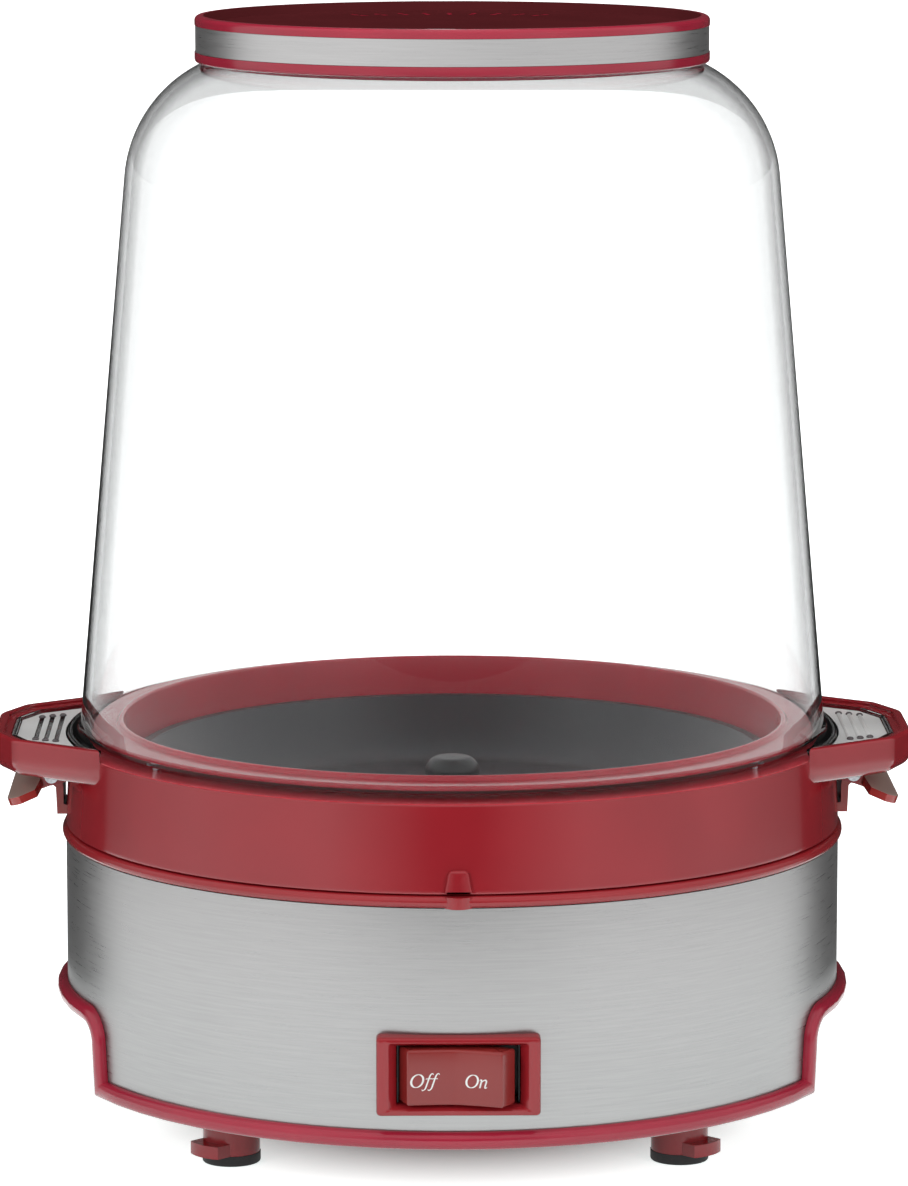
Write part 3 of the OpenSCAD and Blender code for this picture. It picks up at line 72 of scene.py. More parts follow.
def arc(centre: tuple[float, float], radius: float, start: float, stop: float, steps: int) -> np.ndarray:
    """Points of a circular arc: centre plus radius times (cos, sin) of evenly spaced angles.

    Args:
        centre: middle of the arc.
        radius: its radius.
        start: first angle in degrees.
        stop: last angle in degrees.
        steps: number of points.

    Returns:
        An array of points, (steps, 2).
    """
    a = np.radians(np.linspace(start, stop, steps))
    return np.stack([centre[0] + radius * np.cos(a), centre[1] + radius * np.sin(a)], axis=1)


def filleted(points: np.ndarray, radii: np.ndarray, steps: int = 6, closed: bool = True) -> np.ndarray:
    """A polygon with each corner rounded: a parabola from `radius` before the corner to `radius` after it.

    Args:
        points: corners, (n, 2) or (n, 3).
        radii: how far back along both legs each corner is rounded, (n,).
        steps: points for each corner.
        closed: whether the last corner joins the first; if not, the two end corners stay sharp.

    Returns:
        An array of points, (n * steps, 2 or 3).
    """
    points = np.asarray(points, float)
    radii = np.asarray(radii, float)[:, None]
    before = np.roll(points, 1, axis=0) - points
    after = np.roll(points, -1, axis=0) - points
    length_b = np.linalg.norm(before, axis=1, keepdims=True)
    length_a = np.linalg.norm(after, axis=1, keepdims=True)
    reach = np.minimum(radii, 0.49 * np.minimum(length_b, length_a))
    if not closed:
        reach[[0, -1]] = 0.0
    near = points + reach * before / np.maximum(length_b, 1e-12)
    far = points + reach * after / np.maximum(length_a, 1e-12)
    t = np.linspace(0.0, 1.0, steps)[None, :, None]
    bend = (1 - t) ** 2 * near[:, None] + 2 * t * (1 - t) * points[:, None] + t**2 * far[:, None]
    return bend.reshape(-1, points.shape[1])


def grid_faces(rows: int, cols: int, wrap_rows: bool, wrap_cols: bool) -> np.ndarray:
    """Quads between neighbouring points of a grid numbered row by row.

    Args:
        rows: number of rows.
        cols: number of columns.
        wrap_rows: whether the last row joins the first.
        wrap_cols: whether the last column joins the first.

    Returns:
        Point numbers of each quad, (m, 4).
    """
    r = np.arange(rows if wrap_rows else rows - 1)[:, None]
    c = np.arange(cols if wrap_cols else cols - 1)[None, :]
    r2, c2 = (r + 1) % rows, (c + 1) % cols
    quad = np.stack([r * cols + c, r2 * cols + c, r2 * cols + c2, r * cols + c2], axis=-1)
    return quad.reshape(-1, 4)


def revolved(profile: np.ndarray, segments: int) -> tuple[np.ndarray, np.ndarray]:
    """A profile turned round the upright axis: x = r cos a, y = r sin a, z = height.

    Args:
        profile: closed outline as (radius, height), (n, 2).
        segments: steps round the axis.

    Returns:
        Points (segments * n, 3) and quads.
    """
    a = np.linspace(0.0, 2 * np.pi, segments, endpoint=False)[:, None]
    r, z = profile[None, :, 0], profile[None, :, 1]
    points = np.stack([r * np.cos(a), r * np.sin(a), np.broadcast_to(z, (segments, len(profile)))], axis=-1)
    return points.reshape(-1, 3), grid_faces(segments, len(profile), True, True)


def lofted(loops: np.ndarray) -> tuple[np.ndarray, list]:
    """A skin through loops of equal length, with the first and the last loop capped.

    Args:
        loops: closed outlines, (m, n, 3).

    Returns:
        Points (m * n, 3) and faces.
    """
    m, n = loops.shape[:2]
    faces = grid_faces(m, n, False, True).tolist()
    faces += [list(range(n))[::-1], list(range((m - 1) * n, m * n))]
    return loops.reshape(-1, 3), faces


def outward(outline: np.ndarray) -> np.ndarray:
    """Unit normals of a closed counter-clockwise outline.

    Each is the chord between both neighbours, turned by -90 degrees.

    Args:
        outline: its points, (n, 2).

    Returns:
        A normal for each point, (n, 2).
    """
    chord = np.roll(outline, -1, axis=0) - np.roll(outline, 1, axis=0)
    normal = np.stack([chord[:, 1], -chord[:, 0]], axis=1)
    return normal / np.maximum(np.linalg.norm(normal, axis=1, keepdims=True), 1e-12)


def rounded_prism(outline: np.ndarray, low: float, high: float, radius: float, steps: int = 5) -> np.ndarray:
    """Loops of a prism with round edges.

    At angle t a loop is the outline inset by r (1 - cos t), at r (1 - sin t) from an end.

    Args:
        outline: closed counter-clockwise outline, (n, 2).
        low: height of its lower face.
        high: height of its upper face.
        radius: radius of the round edges.
        steps: loops for each edge.

    Returns:
        Loops, (2 * steps, n, 3).
    """
    t = np.linspace(0.0, np.pi / 2, steps)
    inset = radius * (1 - np.cos(np.concatenate([t[::-1], t])))
    z = np.concatenate([low + radius * (1 - np.sin(t[::-1])), high - radius * (1 - np.sin(t))])
    loops = outline[None] - inset[:, None, None] * outward(outline)[None]
    return np.concatenate([loops, np.broadcast_to(z[:, None, None], loops.shape[:2] + (1,))], axis=2)


def rounded_rectangle(width: float, height: float, radius: float, steps: int = 8) -> np.ndarray:
    """A counter-clockwise rectangle about the origin with round corners."""
    w, h = width / 2, height / 2
    return filleted(np.array([[w, -h], [w, h], [-w, h], [-w, -h]]), np.full(4, radius), steps)


def stretched_round(centres: np.ndarray, radii: np.ndarray, inset: float, count: int = 360) -> np.ndarray:
    """Outline of a band stretched round discs, as far as the outermost disc in each direction.

    At angle a the outermost disc is the one with the greatest centre . (cos a, sin a) + radius.

    Args:
        centres: the discs' centres, (n, 2).
        radii: their radii.
        inset: how far the outline is drawn in.
        count: number of directions.

    Returns:
        A closed counter-clockwise outline, evenly spaced, (count, 2).
    """
    a = np.linspace(-np.pi, np.pi, count, endpoint=False)
    way = np.stack([np.cos(a), np.sin(a)], axis=1)
    disc = np.argmax(way @ centres.T + radii, axis=1)
    full = centres[disc] + radii[disc, None] * way
    drawn = full - inset * way
    step = np.linalg.norm(np.roll(full, -1, axis=0) - full, axis=1)
    run = np.concatenate([[0.0], np.cumsum(step)])
    place = np.interp(np.linspace(0.0, run[-1], count, endpoint=False), run, np.arange(count + 1.0))
    closed = np.vstack([drawn, drawn[:1]])
    return np.stack([np.interp(place, np.arange(count + 1.0), closed[:, k]) for k in (0, 1)], axis=1)


def kept_out(loop: np.ndarray, radius: float) -> np.ndarray:
    """Moves points that lie nearer the axis than radius straight out to it.

    Args:
        loop: points, (n, 3).
        radius: least distance from the axis.

    Returns:
        The moved points, (n, 3).
    """
    far = np.linalg.norm(loop[:, :2], axis=1, keepdims=True)
    moved = loop.copy()
    moved[:, :2] *= np.maximum(1.0, radius / far)
    return moved


def capsule(start: np.ndarray, stop: np.ndarray, radius: float, around: int = 20) -> tuple[np.ndarray, list]:
    """A rod with round ends along Y: each end shrinks as a hemisphere's circles do.

    Args:
        start: middle of its end with the lower y.
        stop: middle of its other end; only its y counts.
        radius: its radius.
        around: points of each circle.

    Returns:
        Points and faces.
    """
    near_pole, circles = -88, 7
    t = np.radians(np.linspace(near_pole, 0, circles))
    y = np.concatenate([start[1] + radius * np.sin(t), stop[1] - radius * np.sin(t[::-1])])
    r = radius * np.concatenate([np.cos(t), np.cos(t[::-1])])
    a = np.linspace(0, 2 * np.pi, around, endpoint=False)
    ring = np.stack([np.cos(a), np.zeros(around), np.sin(a)], axis=1)
    loops = ring[None] * r[:, None, None]
    loops += np.array([start[0], 0.0, start[2]])
    loops[:, :, 1] += y[:, None]
    return lofted(loops)


def upright_disc(radius: float, low: float, high: float, segments: int = 256) -> tuple[np.ndarray, list]:
    """A plain upright cylinder about the axis."""
    ring = arc((0.0, 0.0), radius, 0, 360 - 360 / segments, segments)
    return lofted(np.stack([np.insert(ring, 2, z, axis=1) for z in (low, high)]))


def box(centre: tuple, size: tuple) -> tuple[np.ndarray, list]:
    """A plain block about a centre.

    Args:
        centre: its middle, (x, y, z).
        size: its lengths along X, Y and Z.

    Returns:
        Points and faces.
    """
    half = np.array(size) / 2
    corners = np.array([[-1, -1], [1, -1], [1, 1], [-1, 1]]) * half[:2] + np.array(centre[:2])
    return lofted(np.stack([np.insert(corners, 2, centre[2] + k * half[2], axis=1) for k in (-1, 1)]))


def raw_mesh(name: str, points: np.ndarray, faces: list | np.ndarray) -> bpy.types.Mesh:
    """A mesh in metres from points in millimetres, with its doubles merged and its faces turned outwards.

    Args:
        name: the mesh's name.
        points: its points, (n, 3).
        faces: point numbers of each face.

    Returns:
        The new mesh.
    """
    mesh = bpy.data.meshes.new(name)
    rows = faces.tolist() if isinstance(faces, np.ndarray) else faces
    mesh.from_pydata((np.asarray(points) * MM).tolist(), [], rows)
    shell = bmesh.new()
    shell.from_mesh(mesh)
    bmesh.ops.remove_doubles(shell, verts=shell.verts, dist=MERGE)
    bmesh.ops.dissolve_degenerate(shell, edges=shell.edges, dist=SLIVER)
    bmesh.ops.recalc_face_normals(shell, faces=shell.faces)
    shell.to_mesh(mesh)
    shell.free()
    return mesh


def united(name: str, parts: list, cuts: list) -> bpy.types.Mesh:
    """One closed mesh from overlapping closed parts, with others cut away.

    Args:
        name: the mesh's name.
        parts: points and faces of each part, or its mesh; the first is the body that the rest join.
        cuts: points and faces of each cut, or its mesh.

    Returns:
        The joined mesh.
    """
    helpers = []
    for number, part in enumerate(parts + cuts):
        mesh = part if isinstance(part, bpy.types.Mesh) else raw_mesh(f"{name}_{number}", *part)
        helper = bpy.data.objects.new(f"{name}_{number}", mesh)
        bpy.context.scene.collection.objects.link(helper)
        helpers.append(helper)
    for number, helper in enumerate(helpers[1:], 1):
        step = helpers[0].modifiers.new(f"join_{number}", "BOOLEAN")
        step.operation = "UNION" if number < len(parts) else "DIFFERENCE"
        step.solver = "EXACT"
        step.object = helper
    bpy.context.view_layer.update()
    made = bpy.data.meshes.new_from_object(helpers[0].evaluated_get(bpy.context.evaluated_depsgraph_get()))
    made.name = name
    for helper in helpers:
        bpy.data.objects.remove(helper)
    return made


def new_piece(
    name: str,
    points: np.ndarray | bpy.types.Mesh,
    faces: list | np.ndarray | None,
    finish: bpy.types.Material,
    body: str,
    slot: str,
    sharp: float = 35.0,
    replaced: tuple[str, ...] = (),
) -> bpy.types.Object:
    """Puts points, given in millimetres, and faces into a closed, smooth mesh that rides on a body.

    Args:
        name: the piece's name.
        points: its points in millimetres, (n, 3), or a finished mesh.
        faces: point numbers of each face, or None with a mesh.
        finish: its material.
        body: CAD body that it moves with.
        slot: the record's slot that its finish belongs to; not used.
        sharp: edges that turn more than this many degrees stay sharp.
        replaced: CAD nodes that the piece stands for.

    Returns:
        The new object.
    """
    mesh = points if isinstance(points, bpy.types.Mesh) else raw_mesh(name, points, faces)
    mesh.shade_smooth()
    mesh.set_sharp_from_angle(angle=math.radians(sharp))
    mesh.materials.clear()
    mesh.materials.append(finish)
    piece = bpy.data.objects.new(name, mesh)
    bpy.context.scene.collection.objects.link(piece)
    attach(piece, body)
    if replaced:
        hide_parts(*replaced)
    log.info("%s: %d faces on %s", name, len(mesh.polygons), body)
    return piece


# ---- Shader helpers ----


class Tree:
    """A node tree that is written from left to right."""

    def __init__(self, tree: bpy.types.NodeTree) -> None:
        """Keeps the tree and clears it."""
        self.tree = tree
        tree.nodes.clear()

    def node(self, kind: str, settings: dict | None = None, **inputs) -> bpy.types.Node:
        """Adds a node.

        Args:
            kind: the node's type, without its ShaderNode prefix.
            settings: the node's own properties.
            **inputs: socket values or links, by the socket's name with underscores for spaces, or by i and
                the socket's number.

        Returns:
            The new node.
        """
        prefix = "" if kind.startswith(("Node", "Geometry")) else "ShaderNode"
        made = self.tree.nodes.new(prefix + kind)
        for key, value in (settings or {}).items():
            setattr(made, key, value)
        for key, value in inputs.items():
            by_number = key[0] == "i" and key[1:].isdigit()
            self.feed(made.inputs[int(key[1:]) if by_number else key.replace("_", " ")], value)
        return made

    def feed(self, socket: bpy.types.NodeSocket, value: object) -> None:
        """Links an output to a socket, or sets the socket's own value.

        Args:
            socket: the input socket.
            value: an output socket or a plain value.
        """
        if isinstance(value, bpy.types.NodeSocket):
            self.tree.links.new(value, socket)
        else:
            socket.default_value = value

    def math(self, operation: str, a: object, b: object = 0.0, c: object = 0.0) -> bpy.types.NodeSocket:
        """One Math node on up to three values."""
        return self.node("Math", {"operation": operation}, i0=a, i1=b, i2=c).outputs[0]

    def mix(self, share: object, a: object, b: object) -> bpy.types.NodeSocket:
        """A mix of two colours.

        Args:
            share: how much of b there is, 0 to 1.
            a: colour where share is 0.
            b: colour where share is 1.

        Returns:
            The mixed colour.
        """
        made = self.node("Mix", {"data_type": "RGBA", "clamp_factor": True})
        self.feed(made.inputs[0], share)
        self.feed(made.inputs[6], a)
        self.feed(made.inputs[7], b)
        return made.outputs[2]

    def span(
        self, value: object, low: float, high: float, to_low: float = 0.0, to_high: float = 1.0
    ) -> bpy.types.NodeSocket:
        """A value mapped from low..high onto to_low..to_high, and held there."""
        ends = {"i1": low, "i2": high, "i3": to_low, "i4": to_high}
        return self.node("MapRange", {"clamp": True}, i0=value, **ends).outputs[0]


def shared_group(name: str, inputs: dict[str, float], outputs: dict[str, str]) -> tuple[Tree, dict, dict]:
    """A new shader node group with named sockets.

    Args:
        name: the group's name.
        inputs: name and usual value of each input.
        outputs: name and socket type of each output.

    Returns:
        The group's tree, its input sockets and its output sockets by name.
    """
    group = bpy.data.node_groups.new(name, "ShaderNodeTree")
    for label, value in inputs.items():
        group.interface.new_socket(label, in_out="INPUT", socket_type="NodeSocketFloat").default_value = value
    for label, kind in outputs.items():
        group.interface.new_socket(label, in_out="OUTPUT", socket_type=kind)
    tree = Tree(group)
    start, end = tree.node("NodeGroupInput"), tree.node("NodeGroupOutput")
    return tree, {k: start.outputs[k] for k in inputs}, {k: end.inputs[k] for k in outputs}


class SharedEffects:
    """Effects that several finishes use, each built once."""

    def __init__(self) -> None:
        """Builds the groups."""
        self.skin = self.moulded_skin()
        self.brushing = self.brushed_lines()
        self.handling = self.light_handling()
        self.speckle = self.fine_speckle()

    @staticmethod
    def moulded_skin() -> bpy.types.NodeTree:
        """Skin of a moulding: a very fine grain over slow ripples, and a slow shift of shade.

        Returns:
            The node group.
        """
        tree, given, out = shared_group(
            "moulded_skin",
            {"Grain Size": 900.0, "Ripple Size": 35.0, "Ripple": 0.3},
            {"Height": "NodeSocketFloat", "Shade": "NodeSocketFloat"},
        )
        place = tree.node("TexCoord").outputs["Object"]
        grain = tree.node("TexNoise", None, Vector=place, Scale=given["Grain Size"], Detail=3.0)
        ripple = tree.node(
            "TexNoise", None, Vector=place, Scale=given["Ripple Size"], Detail=1.5, Roughness=0.4)
        slow = tree.math("MULTIPLY", ripple.outputs[0], given["Ripple"])
        tree.feed(out["Height"], tree.math("ADD", grain.outputs[0], slow))
        tree.feed(out["Shade"], tree.span(ripple.outputs[0], 0.3, 0.7, 0.0, 1.0))
        return tree.tree

    @staticmethod
    def brushed_lines() -> bpy.types.NodeTree:
        """Brushing round an upright drum: noise that is long along the turn and fine up the height.

        Returns:
            The node group.
        """
        tree, given, out = shared_group(
            "brushed_lines",
            {"Radius": 0.132, "Line Size": 7800.0, "Line Length": 70.0},
            {"Height": "NodeSocketFloat", "Streak": "NodeSocketFloat"},
        )
        place = tree.node("SeparateXYZ", None, Vector=tree.node("TexCoord").outputs["Object"])
        x, y, z = place.outputs
        turn = tree.math("ARCTAN2", y, x)
        along = tree.math("MULTIPLY", tree.math("MULTIPLY", turn, given["Radius"]), given["Line Length"])
        up = tree.math("MULTIPLY", z, given["Line Size"])
        flat = tree.node("CombineXYZ", None, X=along, Y=up, Z=0.0).outputs[0]
        flat_noise = {"noise_dimensions": "2D"}
        fine = tree.node("TexNoise", flat_noise, Vector=flat, Scale=1.0, Detail=2.0, Roughness=0.6)
        # Wider streaks: the same brushing, stretched further up the height than along the turn
        wide_up = tree.math("MULTIPLY", up, 0.16)
        wide_along = tree.math("MULTIPLY", along, 0.5)
        wide_flat = tree.node("CombineXYZ", None, X=wide_along, Y=wide_up, Z=0.0).outputs[0]
        wide = tree.node("TexNoise", flat_noise, Vector=wide_flat, Scale=1.0, Detail=2.0)
        both = tree.math("MULTIPLY_ADD", wide.outputs[0], 0.5, tree.math("MULTIPLY", fine.outputs[0], 0.5))
        tree.feed(out["Height"], fine.outputs[0])
        tree.feed(out["Streak"], tree.span(both, 0.34, 0.66, 0.0, 1.0))
        return tree.tree

    @staticmethod
    def light_handling() -> bpy.types.NodeTree:
        """Faint marks of handling: soft patches broken by finer noise.

        Returns:
            The node group.
        """
        tree, given, out = shared_group(
            "light_handling", {"Patch Size": 18.0, "Amount": 0.5}, {"Mask": "NodeSocketFloat"}
        )
        place = tree.node("TexCoord").outputs["Object"]
        patch = tree.node(
            "TexNoise", None, Vector=place, Scale=given["Patch Size"], Detail=4.0, Distortion=0.6)
        fine = tree.node("TexNoise", None, Vector=place, Scale=420.0, Detail=2.0)
        soft = tree.span(patch.outputs[0], 0.48, 0.72, 0.0, 1.0)
        broken = tree.math("MULTIPLY", soft, tree.span(fine.outputs[0], 0.35, 0.65, 0.4, 1.0))
        tree.feed(out["Mask"], tree.math("MULTIPLY", broken, given["Amount"]))
        return tree.tree

    @staticmethod
    def fine_speckle() -> bpy.types.NodeTree:
        """Fine speckle of a coating or casting, from the cells of a Voronoi pattern.

        Returns:
            The node group.
        """
        tree, given, out = shared_group(
            "fine_speckle",
            {"Size": 1400.0, "Cover": 0.3},
            {"Speck": "NodeSocketFloat", "Height": "NodeSocketFloat"},
        )
        place = tree.node("TexCoord").outputs["Object"]
        cells = tree.node("TexVoronoi", None, Vector=place, Scale=given["Size"])
        noise = tree.node("TexNoise", None, Vector=place, Scale=given["Size"], Detail=2.0)
        chance = tree.node("SeparateColor", None, i0=cells.outputs["Color"]).outputs[0]
        tree.feed(out["Speck"], tree.math("LESS_THAN", chance, given["Cover"]))
        tree.feed(out["Height"], noise.outputs[0])
        return tree.tree


# ---- Finishes ----

Colour = tuple[float, float, float]
WHITE = (1.0, 1.0, 1.0, 1.0)


def rgba(colour: Colour, scale: float = 1.0) -> tuple[float, float, float, float]:
    """A colour with full cover, lightened or darkened by scale."""
    return (min(colour[0] * scale, 1.0), min(colour[1] * scale, 1.0), min(colour[2] * scale, 1.0), 1.0)


def blank_material(name: str) -> tuple[bpy.types.Material, Tree, bpy.types.Node]:
    """A material with an empty tree, a Principled BSDF and an output.

    Args:
        name: the material's name.

    Returns:
        The material, its tree and the Principled BSDF.
    """
    material = bpy.data.materials.new(name)
    material.use_nodes = True
    tree = Tree(material.node_tree)
    bsdf = tree.node("BsdfPrincipled")
    tree.node("OutputMaterial", None, Surface=bsdf.outputs[0])
    return material, tree, bsdf


@dataclass(frozen=True)
class MouldedPlastic:
    """Coloured plastic from a polished or grained mould."""

    name: str
    colour: Colour
    roughness: float = 0.2
    grain_size: float = 900.0
    depth: float = 0.03
    ripple: float = 0.6
    spread: float = 0.06
    marks: float = 0.25
    specular: float = 0.5

    def build(self, shared: SharedEffects) -> bpy.types.Material:
        """Colour that shifts slowly, gloss broken by light handling, and a fine skin as bump.

        Args:
            shared: the effects that the finishes share.

        Returns:
            The material.
        """
        material, tree, bsdf = blank_material(self.name)
        skin = tree.node("Group", {"node_tree": shared.skin}, Grain_Size=self.grain_size, Ripple=self.ripple)
        marks = tree.node("Group", {"node_tree": shared.handling}, Amount=self.marks)
        low, high = rgba(self.colour, 1 - self.spread), rgba(self.colour, 1 + self.spread)
        tree.feed(bsdf.inputs["Base Color"], tree.mix(skin.outputs["Shade"], low, high))
        rough = tree.math("MULTIPLY_ADD", marks.outputs["Mask"], 0.16, self.roughness)
        tree.feed(bsdf.inputs["Roughness"], rough)
        bump = tree.node("Bump", None, Strength=0.35, Distance=self.depth * MM, Height=skin.outputs["Height"])
        tree.feed(bsdf.inputs["Normal"], bump.outputs[0])
        bsdf.inputs["IOR"].default_value = 1.5
        bsdf.inputs["Specular IOR Level"].default_value = self.specular
        return material


@dataclass(frozen=True)
class BrushedSheet:
    """Stainless sheet with brushing round the drum."""

    name: str
    colour: Colour
    roughness: float = 0.3
    stretch: float = 0.75
    radius: float = 0.132
    depth: float = 0.012

    def build(self, shared: SharedEffects) -> bpy.types.Material:
        """Metal whose shade, gloss and bump follow the brushing lines.

        Args:
            shared: the effects that the finishes share.

        Returns:
            The material.
        """
        material, tree, bsdf = blank_material(self.name)
        lines = tree.node("Group", {"node_tree": shared.brushing}, Radius=self.radius)
        marks = tree.node("Group", {"node_tree": shared.handling}, Amount=0.3)
        shade = tree.mix(lines.outputs["Streak"], rgba(self.colour, 0.93), rgba(self.colour, 1.05))
        tree.feed(bsdf.inputs["Base Color"], shade)
        rough = tree.math("MULTIPLY_ADD", lines.outputs["Streak"], 0.06, self.roughness - 0.03)
        tree.feed(bsdf.inputs["Roughness"], tree.math("MULTIPLY_ADD", marks.outputs["Mask"], 0.06, rough))
        depth = self.depth * MM
        bump = tree.node("Bump", None, Strength=0.25, Distance=depth, Height=lines.outputs["Height"])
        tree.feed(bsdf.inputs["Normal"], bump.outputs[0])
        round_axis = tree.node("Tangent", {"direction_type": "RADIAL", "axis": "Z"})
        tree.feed(bsdf.inputs["Tangent"], round_axis.outputs[0])
        bsdf.inputs["Metallic"].default_value = 1.0
        bsdf.inputs["Anisotropic"].default_value = self.stretch
        return material


@dataclass(frozen=True)
class PlainMetal:
    """Bare, plated or cast metal of the inner pieces."""

    name: str
    colour: Colour
    roughness: float = 0.3
    speck_size: float = 1400.0
    cover: float = 0.3
    depth: float = 0.02
    metallic: float = 1.0

    def build(self, shared: SharedEffects) -> bpy.types.Material:
        """Metal with a fine speckle in its shade, gloss and bump.

        Args:
            shared: the effects that the finishes share.

        Returns:
            The material.
        """
        material, tree, bsdf = blank_material(self.name)
        speck = tree.node("Group", {"node_tree": shared.speckle}, Size=self.speck_size, Cover=self.cover)
        marks = tree.node("Group", {"node_tree": shared.handling}, Amount=0.6)
        shade = tree.mix(speck.outputs["Speck"], rgba(self.colour), rgba(self.colour, 0.82))
        tree.feed(bsdf.inputs["Base Color"], tree.mix(marks.outputs["Mask"], shade, rgba(self.colour, 0.7)))
        rough = tree.math("MULTIPLY_ADD", marks.outputs["Mask"], 0.2, self.roughness)
        tree.feed(bsdf.inputs["Roughness"], rough)
        bump = tree.node("Bump", None, Strength=0.3, Distance=self.depth * MM, Height=speck.outputs["Height"])
        tree.feed(bsdf.inputs["Normal"], bump.outputs[0])
        bsdf.inputs["Metallic"].default_value = self.metallic
        return material


@dataclass(frozen=True)
class ClearPlastic:
    """Clear moulded plastic that absorbs light where it runs a long way through it, with a painted shade that
    deepens towards its outline.
    """

    name: str
    tint: Colour = (0.995, 1.0, 1.0)
    absorb: Colour = (0.60, 0.63, 0.65)
    density: float = 14.0
    roughness: float = 0.0
    ior: float = 1.3
    coat: float = 0.0
    ripple: float = 0.02
    # Painted shade towards the outline: slant of the view, 0 face on and 1 edge on, and the grey painted there
    painted_edge_greys: tuple[tuple[float, float], ...] = (
        (0.0, 0.945), (0.3, 0.935), (0.5, 0.88), (0.63, 0.775),
        (0.74, 0.745), (0.79, 0.47), (0.85, 0.25), (0.92, 0.10))

    def build(self, shared: SharedEffects) -> bpy.types.Material:
        """Glass-like plastic with slow ripples, absorption, and a painted shade that deepens towards its
        outline.

        Args:
            shared: the effects that the finishes share.

        Returns:
            The material.
        """
        material, tree, bsdf = blank_material(self.name)
        marks = tree.node("Group", {"node_tree": shared.handling}, Amount=0.12, Patch_Size=9.0)
        skin = tree.node("Group", {"node_tree": shared.skin}, Grain_Size=60.0, Ripple=1.0, Ripple_Size=14.0)
        # Painted shade: the base colour darkens with the slant of the view, most at the outline
        slant = tree.node("LayerWeight", None, Blend=0.5).outputs["Facing"]
        ramp = tree.node("ValToRGB", None, i0=slant)
        stops = ramp.color_ramp.elements
        stops[0].position, stops[1].position = self.painted_edge_greys[0][0], self.painted_edge_greys[-1][0]
        for at, _ in self.painted_edge_greys[1:-1]:
            stops.new(at)
        for stop, (_, grey) in zip(stops, self.painted_edge_greys):
            stop.color = rgba(self.tint, grey)
        tree.feed(bsdf.inputs["Base Color"], ramp.outputs[0])
        bsdf.inputs["Coat Weight"].default_value = self.coat
        bsdf.inputs["Transmission Weight"].default_value = 1.0
        bsdf.inputs["IOR"].default_value = self.ior
        rough = tree.math("MULTIPLY_ADD", marks.outputs["Mask"], 0.05, self.roughness)
        tree.feed(bsdf.inputs["Roughness"], rough)
        depth = 0.05 * MM
        bump = tree.node("Bump", None, Strength=self.ripple, Distance=depth, Height=skin.outputs["Height"])
        tree.feed(bsdf.inputs["Normal"], bump.outputs[0])
        volume = tree.node("VolumeAbsorption", None, Color=rgba(self.absorb), Density=self.density)
        end = next(n for n in tree.tree.nodes if n.type == "OUTPUT_MATERIAL")
        tree.feed(end.inputs["Volume"], volume.outputs[0])
        return material


